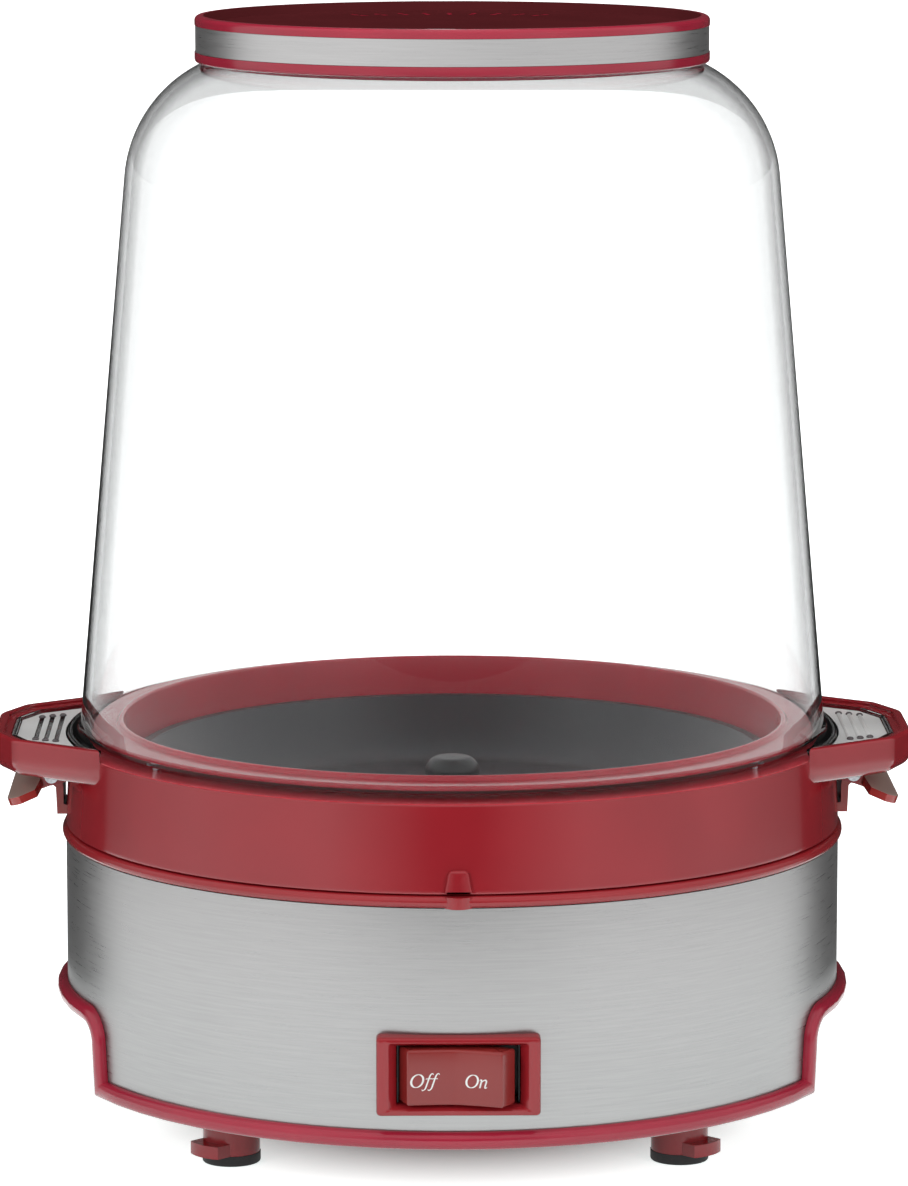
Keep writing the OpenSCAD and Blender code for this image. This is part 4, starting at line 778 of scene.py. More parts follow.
@dataclass(frozen=True)
class Finishes:
    """Every finish of the machine."""

    red: MouldedPlastic = MouldedPlastic("red_moulding", (0.30, 0.014, 0.02), 0.2)
    rim: MouldedPlastic = MouldedPlastic("rim_moulding", (0.36, 0.016, 0.04), 0.17)
    # Painted light: a brighter copy of the red plastic for the retaining ring, which lies in the bowl's shade
    ring: MouldedPlastic = MouldedPlastic("ring_painted_light", (0.60, 0.022, 0.045), 0.18, specular=0.45)
    # Painted light: a brighter copy of the red plastic for the ledge and skirt in shade under the bowl's
    # flange
    seat: MouldedPlastic = MouldedPlastic("seat_painted_light", (0.80, 0.05, 0.075), 0.3, specular=0.2)
    collar: MouldedPlastic = MouldedPlastic("collar_moulding", (0.29, 0.013, 0.02), 0.14, specular=0.62)
    lid_panel: MouldedPlastic = MouldedPlastic("lid_panel", (0.075, 0.012, 0.014), 0.6, specular=0.0)
    # Painted sheen: a pale beige on the paddles' upward faces, where the red plastic catches the light from
    # above
    lever_top: MouldedPlastic = MouldedPlastic("lever_top", (0.42, 0.33, 0.28), 0.45, marks=0.6)
    frosted: MouldedPlastic = MouldedPlastic(
        "frosted_grip", (0.86, 0.86, 0.85), 0.16, 1200.0, 0.05, spread=0.1)
    # Painted shade: near-black studs at the ribs' ends stand for the shadow and dark refraction there
    smoky: MouldedPlastic = MouldedPlastic("smoky_stud", (0.10, 0.085, 0.09), 0.15)
    ink: MouldedPlastic = MouldedPlastic("white_ink", (0.82, 0.82, 0.80), 0.5)
    rocker: MouldedPlastic = MouldedPlastic("rocker_moulding", (0.235, 0.022, 0.020), 0.2)
    lever: MouldedPlastic = MouldedPlastic("lever_moulding", (0.36, 0.035, 0.03), 0.16, marks=0.4)
    black: MouldedPlastic = MouldedPlastic("black_moulding", (0.018, 0.018, 0.02), 0.4, depth=0.05)
    rubber: MouldedPlastic = MouldedPlastic("black_rubber", (0.012, 0.012, 0.013), 0.65, 1400.0, 0.06)
    ceramic: MouldedPlastic = MouldedPlastic("ceramic", (0.66, 0.62, 0.53), 0.55, 1800.0, 0.05)
    terminal: MouldedPlastic = MouldedPlastic("terminal_moulding", (0.70, 0.68, 0.60), 0.45)
    jacket: MouldedPlastic = MouldedPlastic("lead_jacket", (0.03, 0.03, 0.034), 0.5)
    sleeve: BrushedSheet = BrushedSheet("brushed_sleeve", (0.328, 0.322, 0.322))
    band: BrushedSheet = BrushedSheet("brushed_band", (0.52, 0.515, 0.515), radius=0.0865)
    zinc: PlainMetal = PlainMetal("zinc_plate", (0.56, 0.57, 0.60), 0.32)
    well: PlainMetal = PlainMetal("aluminised_well", (0.55, 0.55, 0.56), 0.38)
    sheath: PlainMetal = PlainMetal("element_sheath", (0.10, 0.09, 0.085), 0.5, metallic=0.8)
    motor: PlainMetal = PlainMetal("motor_metal", (0.40, 0.40, 0.42), 0.35)
    bronze: PlainMetal = PlainMetal("bush_bronze", (0.50, 0.33, 0.13), 0.34)
    nonstick: PlainMetal = PlainMetal("nonstick", (0.045, 0.045, 0.05), 0.36, 1700.0, 0.2, 0.01, 0.4)
    wire: PlainMetal = PlainMetal("wire_steel", (0.66, 0.66, 0.67), 0.18)
    clear: ClearPlastic = ClearPlastic("clear_moulding")
    clear_flange: ClearPlastic = ClearPlastic(
        "clear_flange", density=4.0, ior=1.004, coat=0.3, painted_edge_greys=((0.0, 0.985), (0.8, 0.96), (1.0, 0.9)))

    def build(self, shared: SharedEffects) -> dict[str, bpy.types.Material]:
        """The materials, by the record's slots, and by names of their own where a slot has more than one.

        Args:
            shared: the effects that the finishes share.

        Returns:
            Materials by name.
        """
        by_slot = {
            "red_plastic": self.red, "lid_panel": self.lid_panel, "rim_plastic": self.rim,
            "ring_plastic": self.ring, "collar_plastic": self.collar, "seat_plastic": self.seat,
            "lever_top": self.lever_top, "frosted_plastic": self.frosted, "smoky_plastic": self.smoky,
            "rocker_plastic": self.rocker, "lever_plastic": self.lever,
            "black_plastic": self.black, "black_rubber": self.rubber,
            "ceramic_body": self.ceramic, "terminal_plastic": self.terminal, "lead_jacket": self.jacket,
            "sleeve_steel": self.sleeve, "band": self.band, "zinc_steel": self.zinc,
            "well_metal": self.well, "element_sheath": self.sheath, "motor_metal": self.motor,
            "bush_bronze": self.bronze, "nonstick": self.nonstick, "wire_steel": self.wire,
            "clear_plastic": self.clear, "clear_flange": self.clear_flange, "white_ink": self.ink,
        }
        return {slot: finish.build(shared) for slot, finish in by_slot.items()}


# ---- CAD nodes that stay ----


# Picks faces from their distance from the axis, height and upward share of the normal
FaceTest = Callable[[np.ndarray, np.ndarray, np.ndarray], np.ndarray]


def part_finish(mesh: bpy.types.Mesh, material: bpy.types.Material, chosen: FaceTest) -> None:
    """Gives some faces of a mesh a finish of their own.

    Args:
        mesh: the mesh.
        material: the finish.
        chosen: picks the faces.
    """
    mesh.materials.append(material)
    count = len(mesh.polygons)
    centre, normal = np.zeros(count * 3, np.float32), np.zeros(count * 3, np.float32)
    mesh.polygons.foreach_get("center", centre)
    mesh.polygons.foreach_get("normal", normal)
    centre, normal = centre.reshape(-1, 3), normal.reshape(-1, 3)
    picked = chosen(np.hypot(centre[:, 0], centre[:, 1]), centre[:, 2], normal[:, 2])
    mesh.polygons.foreach_set("material_index", picked.astype(np.int32))
    mesh.update()


@dataclass
class CarriedNodes:
    """Gives each CAD node its finish, and smooth shading where it is shown."""

    sharp: float = 28.0
    # The retaining ring gets the brighter red that paints light into the bowl's shade
    special: dict[str, str] = field(default_factory=lambda: {
        "lid_band": "band", "retaining_ring": "ring_plastic",
        "lid_ring": "rim_plastic", "lid_cover": "rim_plastic"})
    # Where the second finishes start and end, in metres
    panel_r: float = 0.0832
    panel_low: float = 0.3708
    rim_r: float = 0.1312
    rim_top: float = 0.052
    lever_top_r: float = 0.137
    # Least upward share of a face's normal
    rising: float = 0.1
    level: float = 0.75

    def smoothing(self) -> bpy.types.NodeTree:
        """Geometry nodes that merge loose triangles and shade them smooth up to the sharp angle.

        Returns:
            The node group.
        """
        group = bpy.data.node_groups.new("smooth_by_angle", "GeometryNodeTree")
        group.interface.new_socket("Geometry", in_out="INPUT", socket_type="NodeSocketGeometry")
        group.interface.new_socket("Geometry", in_out="OUTPUT", socket_type="NodeSocketGeometry")
        tree = Tree(group)
        start, end = tree.node("NodeGroupInput"), tree.node("NodeGroupOutput")
        merged = tree.node("GeometryNodeMergeByDistance", None, Geometry=start.outputs[0], Distance=1e-5)
        angle = tree.node("GeometryNodeInputMeshEdgeAngle").outputs["Unsigned Angle"]
        flat = tree.math("LESS_THAN", angle, math.radians(self.sharp))
        faces = tree.node("GeometryNodeSetShadeSmooth", {"domain": "FACE"}, Geometry=merged.outputs[0])
        edges = tree.node("GeometryNodeSetShadeSmooth", {"domain": "EDGE"}, Geometry=faces.outputs[0])
        tree.feed(edges.inputs["Shade Smooth"], flat)
        tree.feed(end.inputs[0], edges.outputs[0])
        return group

    def dress(self, materials: dict[str, bpy.types.Material]) -> None:
        """Assigns each node's material, adds the smoothing and sets the second finishes.

        Args:
            materials: materials by slot.
        """
        smoothing = self.smoothing()
        slots = {row["node"]: row["material_slot"] for row in frame["record"]["subparts"]}
        for name, node in frame["nodes"].items():
            material = materials[self.special.get(name, slots[name])]
            node.data.materials.clear()
            node.data.materials.append(material)
            if not node.hide_render:
                modifier = node.modifiers.new("smooth_by_angle", "NODES")
                modifier.node_group = smoothing
            log.info("%s: %s", name, material.name)
        second = {
            "lid_cover": ("lid_panel", self.is_panel),
            "base_tray": ("rim_plastic", self.is_rim),
            "release_lever_left": ("lever_top", self.is_lever_top),
            "release_lever_right": ("lever_top", self.is_lever_top),
        }
        for name, (slot, chosen) in second.items():
            part_finish(frame["nodes"][name].data, materials[slot], chosen)

    def is_panel(self, r: np.ndarray, z: np.ndarray, up: np.ndarray) -> np.ndarray:
        """The sunk top of the lid, inside its rim."""
        return (r < self.panel_r) & (z > self.panel_low) & (up > self.rising)

    def is_rim(self, r: np.ndarray, z: np.ndarray, up: np.ndarray) -> np.ndarray:
        """The rounded rim round the foot of the drum."""
        return (r > self.rim_r) & (z < self.rim_top)

    def is_lever_top(self, r: np.ndarray, z: np.ndarray, up: np.ndarray) -> np.ndarray:
        """The upper faces of a release lever's paddle, which get the painted sheen."""
        return (r > self.lever_top_r) & (up > self.level)


# ---- Pieces ----


@dataclass
class SteelSleeve:
    """The brushed sleeve, with its two arches and the opening for the switch."""

    outer: float = 132.0
    wall: float = 0.8
    foot: float = 21.2
    top: float = 97.38
    arch_half: float = 59.4
    flare: float = 1.6
    crown: float = 45.1
    corner: float = 9.0
    opening: tuple[float, float, float, float] = (-22.5, 22.5, 31.8, 54.2)
    # Depth under the outer radius at which an arch's width is measured
    inset: float = 0.6
    # Distances from an arch's middle between which its leg and corner get extra columns
    leg: tuple[float, float] = (49.0, 61.5)
    # Plain rows of points between the opening and the top
    rows: tuple[float, float] = (70.0, 84.0)

    def arch_height(self, across: np.ndarray) -> np.ndarray:
        """Height of the sleeve's lower edge beside an arch's middle: a leg, a round corner and a flat crown.

        Args:
            across: distances from the arch's middle.

        Returns:
            The edge's height at each.
        """
        bend = np.radians(np.linspace(0, 90, 12))
        line = np.concatenate([
            [[self.arch_half + self.flare, self.foot]],
            np.stack([self.arch_half - self.corner + self.corner * np.cos(bend),
                      self.crown - self.corner + self.corner * np.sin(bend)], axis=1),
            [[0.0, self.crown]],
        ])[::-1]
        return np.interp(np.abs(across), line[:, 0], line[:, 1])

    def build(self, materials: dict[str, bpy.types.Material]) -> None:
        """A grid of angle and height, whose rows shift up over the arches, with its inner side drawn in.

        Args:
            materials: materials by name.
        """
        full = 2 * np.pi
        hole = np.arcsin(np.array(self.opening[:2]) / self.outer) - np.pi / 2
        legs = np.arcsin(np.linspace(*self.leg, 26) / (self.outer - self.inset))
        steps = np.concatenate([np.linspace(0, full, 360, endpoint=False), hole,
                                *(c + k * legs for c in (0.0, np.pi) for k in (-1, 1))])
        turn = np.unique(np.round(np.mod(steps, full), 5))
        rows = np.array([self.foot, *self.opening[2:], *self.rows, self.top])
        at_side, far_off = np.abs(np.cos(turn)) > 0.7, 1e3
        across = np.where(at_side, (self.outer - self.inset) * np.sin(turn), far_off)
        low = self.arch_height(across)
        z = low[:, None] + (rows[None] - self.foot) * ((self.top - low) / (self.top - self.foot))[:, None]
        skins = [np.stack([radius * np.cos(turn)[:, None] + 0 * z, radius * np.sin(turn)[:, None] + 0 * z, z],
                          axis=-1) for radius in (self.outer, self.outer - self.wall)]
        n, m = len(turn), len(rows)
        loop = np.concatenate([skins[0], skins[1][:, ::-1]], axis=1)
        faces = grid_faces(n, 2 * m, True, True)
        # Leave out the quads in the switch's opening, outside and inside, and close its edge
        middle = np.mod(turn + np.append(np.diff(turn), 0.0) / 2, full)
        from_front = np.abs(np.mod(middle + np.pi / 2 + np.pi, full) - np.pi)
        in_turn = from_front < hole[1] + np.pi / 2 - 1e-4
        row = np.tile(np.arange(2 * m), n)
        in_row = (row == 1) | (row == 2 * m - 3)
        kept = faces[~(np.repeat(in_turn, 2 * m) & in_row)]
        first, last = np.flatnonzero(in_turn)[[0, -1]]
        # The opening lies between rows 1 and 2; the inner twin of row k is 2 m - 1 - k
        low_edge, high_edge = (1, 2 * m - 2), (2, 2 * m - 3)

        def at(column: int, number: int) -> int:
            """Number of the point in a column and a row."""
            return int(column * 2 * m + number)

        edge = []
        for i in range(first, last + 1):
            out, inner = low_edge
            edge.append([at(i, out), at(i + 1, out), at(i + 1, inner), at(i, inner)])
        for i in range(first, last + 1):
            out, inner = high_edge
            edge.append([at(i, out), at(i, inner), at(i + 1, inner), at(i + 1, out)])
        for c in (first, last + 1):
            edge.append([at(c, low_edge[0]), at(c, high_edge[0]), at(c, high_edge[1]), at(c, low_edge[1])])
        new_piece("sleeve_skin", loop.reshape(-1, 3), kept.tolist() + edge, materials["sleeve_steel"], "base",
                  "sleeve_steel", 40.0, ("drum_sleeve",))


@dataclass
class HandlePlan:
    """Plan of a side handle, as a band stretched round six discs."""

    centres: tuple = (
        (144.4, -16.0), (144.4, 16.0), (139.9, -28.5), (139.9, 28.5), (114.7, -46.0), (114.7, 46.0))
    radii: tuple = (11.0, 11.0, 10.0, 10.0, 11.0, 11.0)
    frame: float = 5.6

    def outline(self, side: Side, inset: float, z: float, clear: float) -> np.ndarray:
        """The plan drawn in by inset, at height z, kept clear of the axis.

        Args:
            side: which handle.
            inset: how far it is drawn in.
            z: its height.
            clear: least distance from the axis.

        Returns:
            A loop, (n, 3).
        """
        flat = stretched_round(np.array(self.centres), np.array(self.radii), inset)
        loop = kept_out(np.column_stack([flat, np.full(len(flat), z)]), clear)
        return loop * np.array([side.value, 1.0, 1.0])


@dataclass
class ClearBowl:
    """The clear bowl with its flange, neck and the ribbed grips in the handles."""

    flange: tuple[float, float] = (131.1, 133.7)
    flange_r: float = 130.7
    foot_r: float = 127.1
    wall: float = 2.6
    bore: float = 114.9
    shoulder: tuple[float, float] = (64.7, 318.0)
    shoulder_r: float = 45.8
    neck_r: float = 80.0
    neck_top: float = 366.1
    taper: float = 5.0
    grip_slab: float = 1.1
    rib_at: tuple[float, ...] = (141.2, 137.7, 134.2)
    rib_half: tuple[float, ...] = (21.0, 23.0, 24.5)
    rib_r: float = 0.85

    def neck_angle(self, radius: float, edge: float) -> float:
        """Angle at which a shoulder of a radius meets an upright wall at distance edge from the axis."""
        return math.degrees(math.acos((edge - self.shoulder[0]) / radius))

    def profile(self) -> np.ndarray:
        """Half section: flange, tapered wall, round shoulder and neck, out and back again, with soft corners.

        Returns:
            A closed outline as (radius, height), (n, 2).
        """
        low, high = self.flange
        slope = math.tan(math.radians(self.taper))
        inner_r, neck_in = self.shoulder_r - self.wall, self.neck_r - self.wall
        stop, start = self.neck_angle(self.shoulder_r, self.neck_r), self.neck_angle(inner_r, neck_in)
        outer = arc(self.shoulder, self.shoulder_r, self.taper, stop, 40)
        inner = arc(self.shoulder, inner_r, start, self.taper, 40)
        foot = filleted(np.array([
            [self.foot_r - self.wall - 0.2, high], [self.bore, high], [self.bore, low],
            [self.flange_r, low], [self.flange_r, high], [self.foot_r + 0.9, high],
            [self.foot_r - self.wall * slope, high + 1.7], outer[0]]),
            np.array([0.0, 0.3, 0.3, 0.4, 0.6, 0.8, 1.5, 0.0]), 6, closed=False)
        lip_steps = 5
        edge = np.array([outer[-1], [self.neck_r, self.neck_top], [neck_in, self.neck_top], inner[0]])
        lip = filleted(edge, np.array([0.0, 0.8, 0.8, 0.0]), lip_steps, closed=False)
        return np.vstack([foot, outer[1:], lip[lip_steps:-lip_steps], inner])

    def grip(self, side: Side) -> tuple[np.ndarray, list]:
        """A shallow tray that carries the flange on into the handle's frame.

        Its loops run from the tray's underside up over its lip and down inside to its floor. Each has an
        inset, a height and a least radius.

        Args:
            side: which handle.

        Returns:
            Points and faces.
        """
        plan, low, high = HandlePlan(), self.flange[0] + 0.05, self.flange[1]
        out, wall, floor = plan.frame + 0.25, plan.frame + 1.75, low + self.grip_slab
        seam, inside = 129.6, 131.2
        steps = [
            (out + 0.5, low, seam), (out, low + 0.5, seam), (out, high - 0.5, seam),
            (out + 0.15, high - 0.15, seam + 0.1), (out + 0.5, high, seam + 0.3),
            (wall - 0.4, high, inside - 0.3), (wall - 0.1, high - 0.1, inside - 0.1),
            (wall, high - 0.4, inside), (wall, floor + 0.5, inside), (wall + 0.5, floor, inside + 0.4)]
        return lofted(np.stack([plan.outline(side, *step) for step in steps]))

    def ribbed_plate(self, side: Side) -> list[tuple[np.ndarray, list]]:
        """The textured plate in a grip, with half-round ribs across it.

        Args:
            side: which handle.

        Returns:
            Points and faces of the plate and of its ribs.
        """
        plan, floor = HandlePlan(), self.flange[0] + 0.05 + self.grip_slab
        inset, clear = plan.frame + 2.1, 131.9
        parts = [lofted(np.stack([plan.outline(side, inset, floor + z, clear) for z in (0.02, 0.32)]))]
        for x, half in zip(self.rib_at, self.rib_half):
            ends = [np.array([side.value * x, k * half, floor + 0.1]) for k in (-1, 1)]
            parts.append(capsule(ends[0], ends[1], self.rib_r))
        return parts

    def rib_ends(self, side: Side) -> tuple[np.ndarray, list]:
        """The small round studs at the ribs' ends.

        Args:
            side: which handle.

        Returns:
            Points and faces of all of them.
        """
        points, faces, floor = [], [], self.flange[0] + self.grip_slab
        around = 24
        for x, half in zip(self.rib_at, self.rib_half):
            for k in (-1, 1):
                disc = arc((side.value * x, k * half), self.rib_r + 0.35, 0, 360 - 360 / around, around)
                p, f = lofted(rounded_prism(disc, floor, floor + self.rib_r + 0.45, 0.8))
                faces += [[v + len(p) * len(points) for v in face] for face in f]
                points.append(p)
        return np.vstack(points), faces

    def is_flange(self, r: np.ndarray, z: np.ndarray, up: np.ndarray) -> np.ndarray:
        """The flange, up to the foot of the wall."""
        return (r < (self.flange_r + 0.1) * MM) & (z < (self.flange[1] + 0.2) * MM)

    def build(self, materials: dict[str, bpy.types.Material]) -> None:
        """Joins the turned bowl and both grips into one clear piece, and adds the grips' plates and the dark
        studs, painted shade at the ribs' ends.

        Args:
            materials: materials by name.
        """
        slot, sharp = "clear_plastic", 40.0
        parts = [revolved(self.profile(), 256)] + [self.grip(side) for side in Side]
        joined = united("clear_bowl", parts, [])
        bowl = new_piece("clear_bowl", joined, None, materials["clear_plastic"], "bowl", slot, 32.0,
                         ("popping_bowl",))
        part_finish(bowl.data, materials["clear_flange"], self.is_flange)
        for side in Side:
            tag = side.label
            plate = united(f"grip_plate_{tag}", self.ribbed_plate(side), [])
            new_piece(f"grip_plate_{tag}", plate, None, materials["frosted_plastic"], "bowl", slot, sharp)
            # Painted shade: the studs at the ribs' ends are coloured dark
            studs = self.rib_ends(side)
            new_piece(f"grip_studs_{tag}", *studs, materials["smoky_plastic"], "bowl", slot, sharp)


@dataclass
class Collar:
    """The red collar with its two handles, the levers' lugs and the boss at the front."""

    foot_r: float = 132.0
    top_r: float = 130.75
    inner_r: float = 128.4
    low: float = 101.9
    high: float = 130.98
    handle: tuple[float, float] = (122.5, 135.1)
    tray_floor: float = 125.1
    lever: tuple[float, float] = (136.3, 118.9)
    lug_r: float = 3.2
    lug_y: float = 14.0
    lug_half: float = 1.5
    hook: tuple[float, float, float] = (131.4, 105.0, 20.0)
    # Limits of the seat's brighter red, painted light where it lies in shade, in metres
    seat_r: float = 0.1305
    seat_span: tuple[float, float] = (0.122, 0.1312)

    def wall(self) -> np.ndarray:
        """Half section: the drafted wall with soft edges, the flange's seat and the skirt round the ring.

        Returns:
            A closed outline as (radius, height), (n, 2).
        """
        skirt_in, skirt_out, skirt_low, seat_low = 114.92, 117.12, 122.5, 128.5
        edge = np.array([[129.5, self.low], [self.foot_r, self.low], [self.foot_r - 0.15, self.low + 3],
                         [self.top_r, self.high], [skirt_in, self.high], [skirt_in, skirt_low],
                         [skirt_out, skirt_low], [skirt_out, seat_low], [self.inner_r, seat_low],
                         [self.inner_r, self.low + 4]])
        return filleted(edge, np.array([0.3, 0.5, 3.0, 0.7, 0.2, 0.3, 0.3, 0.3, 0.3, 0.5]), 6)

    def handle_frame(self, side: Side) -> bpy.types.Mesh:
        """A hollow handle: loops up its outside, over a round rim and a step, and down inside to its floor.

        Args:
            side: which handle.

        Returns:
            Its mesh, cut to the collar's wall.
        """
        plan, (low, high) = HandlePlan(), self.handle
        bend = np.radians(np.linspace(0, 90, 7))
        under_r, rim_r, frame_in = 4.6, 1.3, plan.frame
        under = [(under_r * (1 - math.sin(a)), low + under_r * (1 - math.cos(a))) for a in bend]
        over = [(rim_r * (1 - math.cos(a)), high - rim_r * (1 - math.sin(a))) for a in bend]
        inner = [(2.6, high), (3.0, high - 0.12), (3.25, high - 0.45), (3.3, high - 1.25), (3.5, high - 1.5),
                 (frame_in - 0.3, high - 1.5), (frame_in - 0.05, high - 1.65), (frame_in, high - 1.9),
                 (frame_in, self.tray_floor + 1.0), (frame_in + 1.0, self.tray_floor)]
        loops = np.stack([plan.outline(side, inset, z, 0.0) for inset, z in under + over + inner])
        below, above, wall_in = 100.0, 140.0, 129.6
        cuts = [upright_disc(wall_in, below, self.high - 0.05),
                upright_disc(self.top_r + 0.08, self.high - 0.1, above)]
        return united(f"frame_{side.label}", [lofted(loops)], cuts)

    def lugs(self, side: Side) -> list[tuple[np.ndarray, list]]:
        """The two plates that carry a lever's pin, each a slab with a round foot.

        Args:
            side: which handle.

        Returns:
            Points and faces of both.
        """
        (x, z), root = self.lever, self.handle[0] + 1.5
        foot = arc((x, z), self.lug_r, -90, 0, 8)
        flat = np.vstack([[[x - 8, root], [x - 8, z - 1]], foot, [[x + self.lug_r, root]]])
        across = side.value * flat[:, 0]
        made = []
        for middle in (-self.lug_y, self.lug_y):
            loops = [np.column_stack([across, np.full(len(flat), middle + k * self.lug_half), flat[:, 1]])
                     for k in (1, -1)]
            made.append(lofted(np.stack(loops[::-1] if side is Side.LEFT else loops)))
        return made

    def boss(self) -> tuple[np.ndarray, list]:
        """The raised boss at the front: a tapered outline carried out and drawn in over a bevel.

        Returns:
            Points and faces.
        """
        corners = np.array([[-4.5, 0.4], [4.5, 0.4], [3.1, 8.0], [-3.1, 8.0]])
        flat = filleted(corners, np.array([0.2, 0.2, 1.5, 1.5]), 6)
        loops = []
        for inset, y in ((0.0, -130.0), (0.0, -132.6), (0.25, -133.0), (0.7, -133.2)):
            drawn = flat - inset * outward(flat)
            loops.append(np.column_stack([drawn[:, 0], np.full(len(drawn), y), drawn[:, 1] + self.low]))
        return lofted(np.stack(loops))

    def build(self, materials: dict[str, bpy.types.Material]) -> None:
        """Joins the wall, both handles, the lugs and the boss, and cuts the notches for the hooks.

        Args:
            materials: materials by name.
        """
        x, z, across = self.hook
        parts = [revolved(self.wall(), 256), self.boss()] + [self.handle_frame(side) for side in Side]
        for side in Side:
            parts += self.lugs(side)
        cuts = [box((side.value * x, 0.0, z), (14.0, across, 8.2)) for side in Side]
        below, hollow_top = 100.0, 113.0
        cuts.append(upright_disc(self.inner_r, below, hollow_top))
        joined = united("collar_moulding", parts, cuts)
        collar = new_piece("collar_moulding", joined, None, materials["collar_plastic"], "bowl",
                           "red_plastic", 30.0, ("collar",))
        # Painted light: the ledge and skirt under the flange lie in shade and get a brighter red
        part_finish(collar.data, materials["seat_plastic"], self.is_seat)

    def is_seat(self, r: np.ndarray, z: np.ndarray, up: np.ndarray) -> np.ndarray:
        """The ledge under the bowl's flange, with the skirt inside it, given a brighter red as painted light.
        """
        return (r < self.seat_r) & (z > self.seat_span[0]) & (z < self.seat_span[1])


@dataclass
class RockerSwitch:
    """The rocker with soft edges and its lettering, and the bevelled bezel."""

    axis_y: float = 128.6
    height: float = 43.0
    width: float = 38.0
    tall: float = 18.4
    face: float = 8.3
    rise: float = 2.79
    sweep: float = 1.3
    tilt: float = 6.5
    em: float = 6.0
    slant: float = 0.2
    line_z: float = -2.9
    bezel: tuple[float, float] = (53.0, 26.0)
    window: tuple[float, float] = (40.0, 19.4)
    bezel_y: float = 136.2
    drum: float = 132.12

    def front(self, x: np.ndarray) -> np.ndarray:
        """Depth of the rocker's hollow face at x: it rises towards both ends as |x| to the power of sweep."""
        return -self.face - self.rise * (np.abs(x) / (self.width / 2 - 3)) ** self.sweep

    def placed(self, points: np.ndarray) -> np.ndarray:
        """Turns points of the upright rocker by its tilt and sets them on its axis.

        Args:
            points: points, (n, 3).

        Returns:
            The placed points, (n, 3).
        """
        a = math.radians(-self.tilt)
        turn = np.array([[math.cos(a), -math.sin(a), 0], [math.sin(a), math.cos(a), 0], [0, 0, 1]])
        return points @ turn.T + np.array([0.0, -self.axis_y, self.height])

    def rocker(self, materials: dict[str, bpy.types.Material]) -> None:
        """The rocker: its plan, with the hollow face sampled evenly, as a prism with round edges.

        Args:
            materials: materials by name.
        """
        half, corner_steps = self.width / 2, 7
        x = np.linspace(-(half - 5), half - 5, 25)
        hollow = np.stack([x, self.front(x)], axis=1)
        crest = self.front(np.array([half - 3.6]))[0]
        right = filleted(np.array([hollow[-1], [half - 3.6, crest], [half - 0.1, -4.0], [half / 2, 1.2]]),
                         np.array([0, 1.2, 0.8, 0.6]), corner_steps, closed=False)
        left = right[::-1] * np.array([-1.0, 1.0])
        outline = np.vstack([hollow, right[corner_steps:], left[:-corner_steps]])
        points, faces = lofted(rounded_prism(outline, -self.tall / 2, self.tall / 2, 1.1, 6))
        new_piece("rocker_cap", self.placed(points), faces, materials["rocker_plastic"], "rocker",
                  "rocker_plastic", 50.0, ("rocker",))

    def stroke(self, path: list, widths: list) -> tuple[np.ndarray, np.ndarray]:
        """One pen stroke: a smooth line through the points, as wide as given at each.

        Args:
            path: points in ems, across and up.
            widths: the pen's width at each point, in ems.

        Returns:
            Its left and its right edge, each (m, 2).
        """
        path, widths = np.array(path, float), np.array(widths, float)
        k = np.arange(len(path))
        fine = np.linspace(0, len(path) - 1, 8 * (len(path) - 1) + 1)
        # Catmull-Rom weights of the four points round each place
        i = np.minimum(fine.astype(int), len(path) - 2)
        t = (fine - i)[:, None]
        p = [path[np.clip(i + d, 0, len(path) - 1)] for d in (-1, 0, 1, 2)]
        line = 0.5 * (2 * p[1] + (p[2] - p[0]) * t + (2 * p[0] - 5 * p[1] + 4 * p[2] - p[3]) * t**2
                      + (3 * p[1] - p[0] - 3 * p[2] + p[3]) * t**3)
        wide = np.interp(fine, k, widths)[:, None] / 2
        along = np.gradient(line, axis=0)
        side = np.stack([-along[:, 1], along[:, 0]], axis=1) / np.linalg.norm(along, axis=1, keepdims=True)
        return line + wide * side, line - wide * side

    def letters(self, materials: dict[str, bpy.types.Material]) -> None:
        """Off on the left and On on the right, slanted, each pen stroke a thin closed solid on the face.

        Args:
            materials: materials by name.
        """
        turns = np.linspace(0, 2 * np.pi, 13)
        ring = ([[0.33 + 0.31 * math.cos(a), 0.34 + 0.35 * math.sin(a)] for a in turns],
                [0.035 + 0.075 * abs(math.cos(a)) for a in turns])
        f_stem = ([[0.47, 0.66], [0.40, 0.73], [0.31, 0.66], [0.26, 0.45],
                   [0.22, 0.15], [0.17, -0.10], [0.06, -0.19], [0.0, -0.13]],
                  [0.03, 0.045, 0.075, 0.085, 0.085, 0.075, 0.045, 0.03])
        f_bar = ([[0.10, 0.44], [0.24, 0.455], [0.42, 0.45]], [0.035, 0.04, 0.035])
        n_stem = ([[0.02, 0.40], [0.09, 0.46], [0.13, 0.40], [0.12, 0.2], [0.11, 0.0]],
                  [0.03, 0.05, 0.085, 0.085, 0.085])
        n_arch = ([[0.13, 0.28], [0.22, 0.41], [0.33, 0.455], [0.40, 0.38],
                   [0.385, 0.18], [0.38, 0.05], [0.43, 0.01], [0.49, 0.08]],
                  [0.035, 0.05, 0.07, 0.085, 0.085, 0.07, 0.045, 0.03])
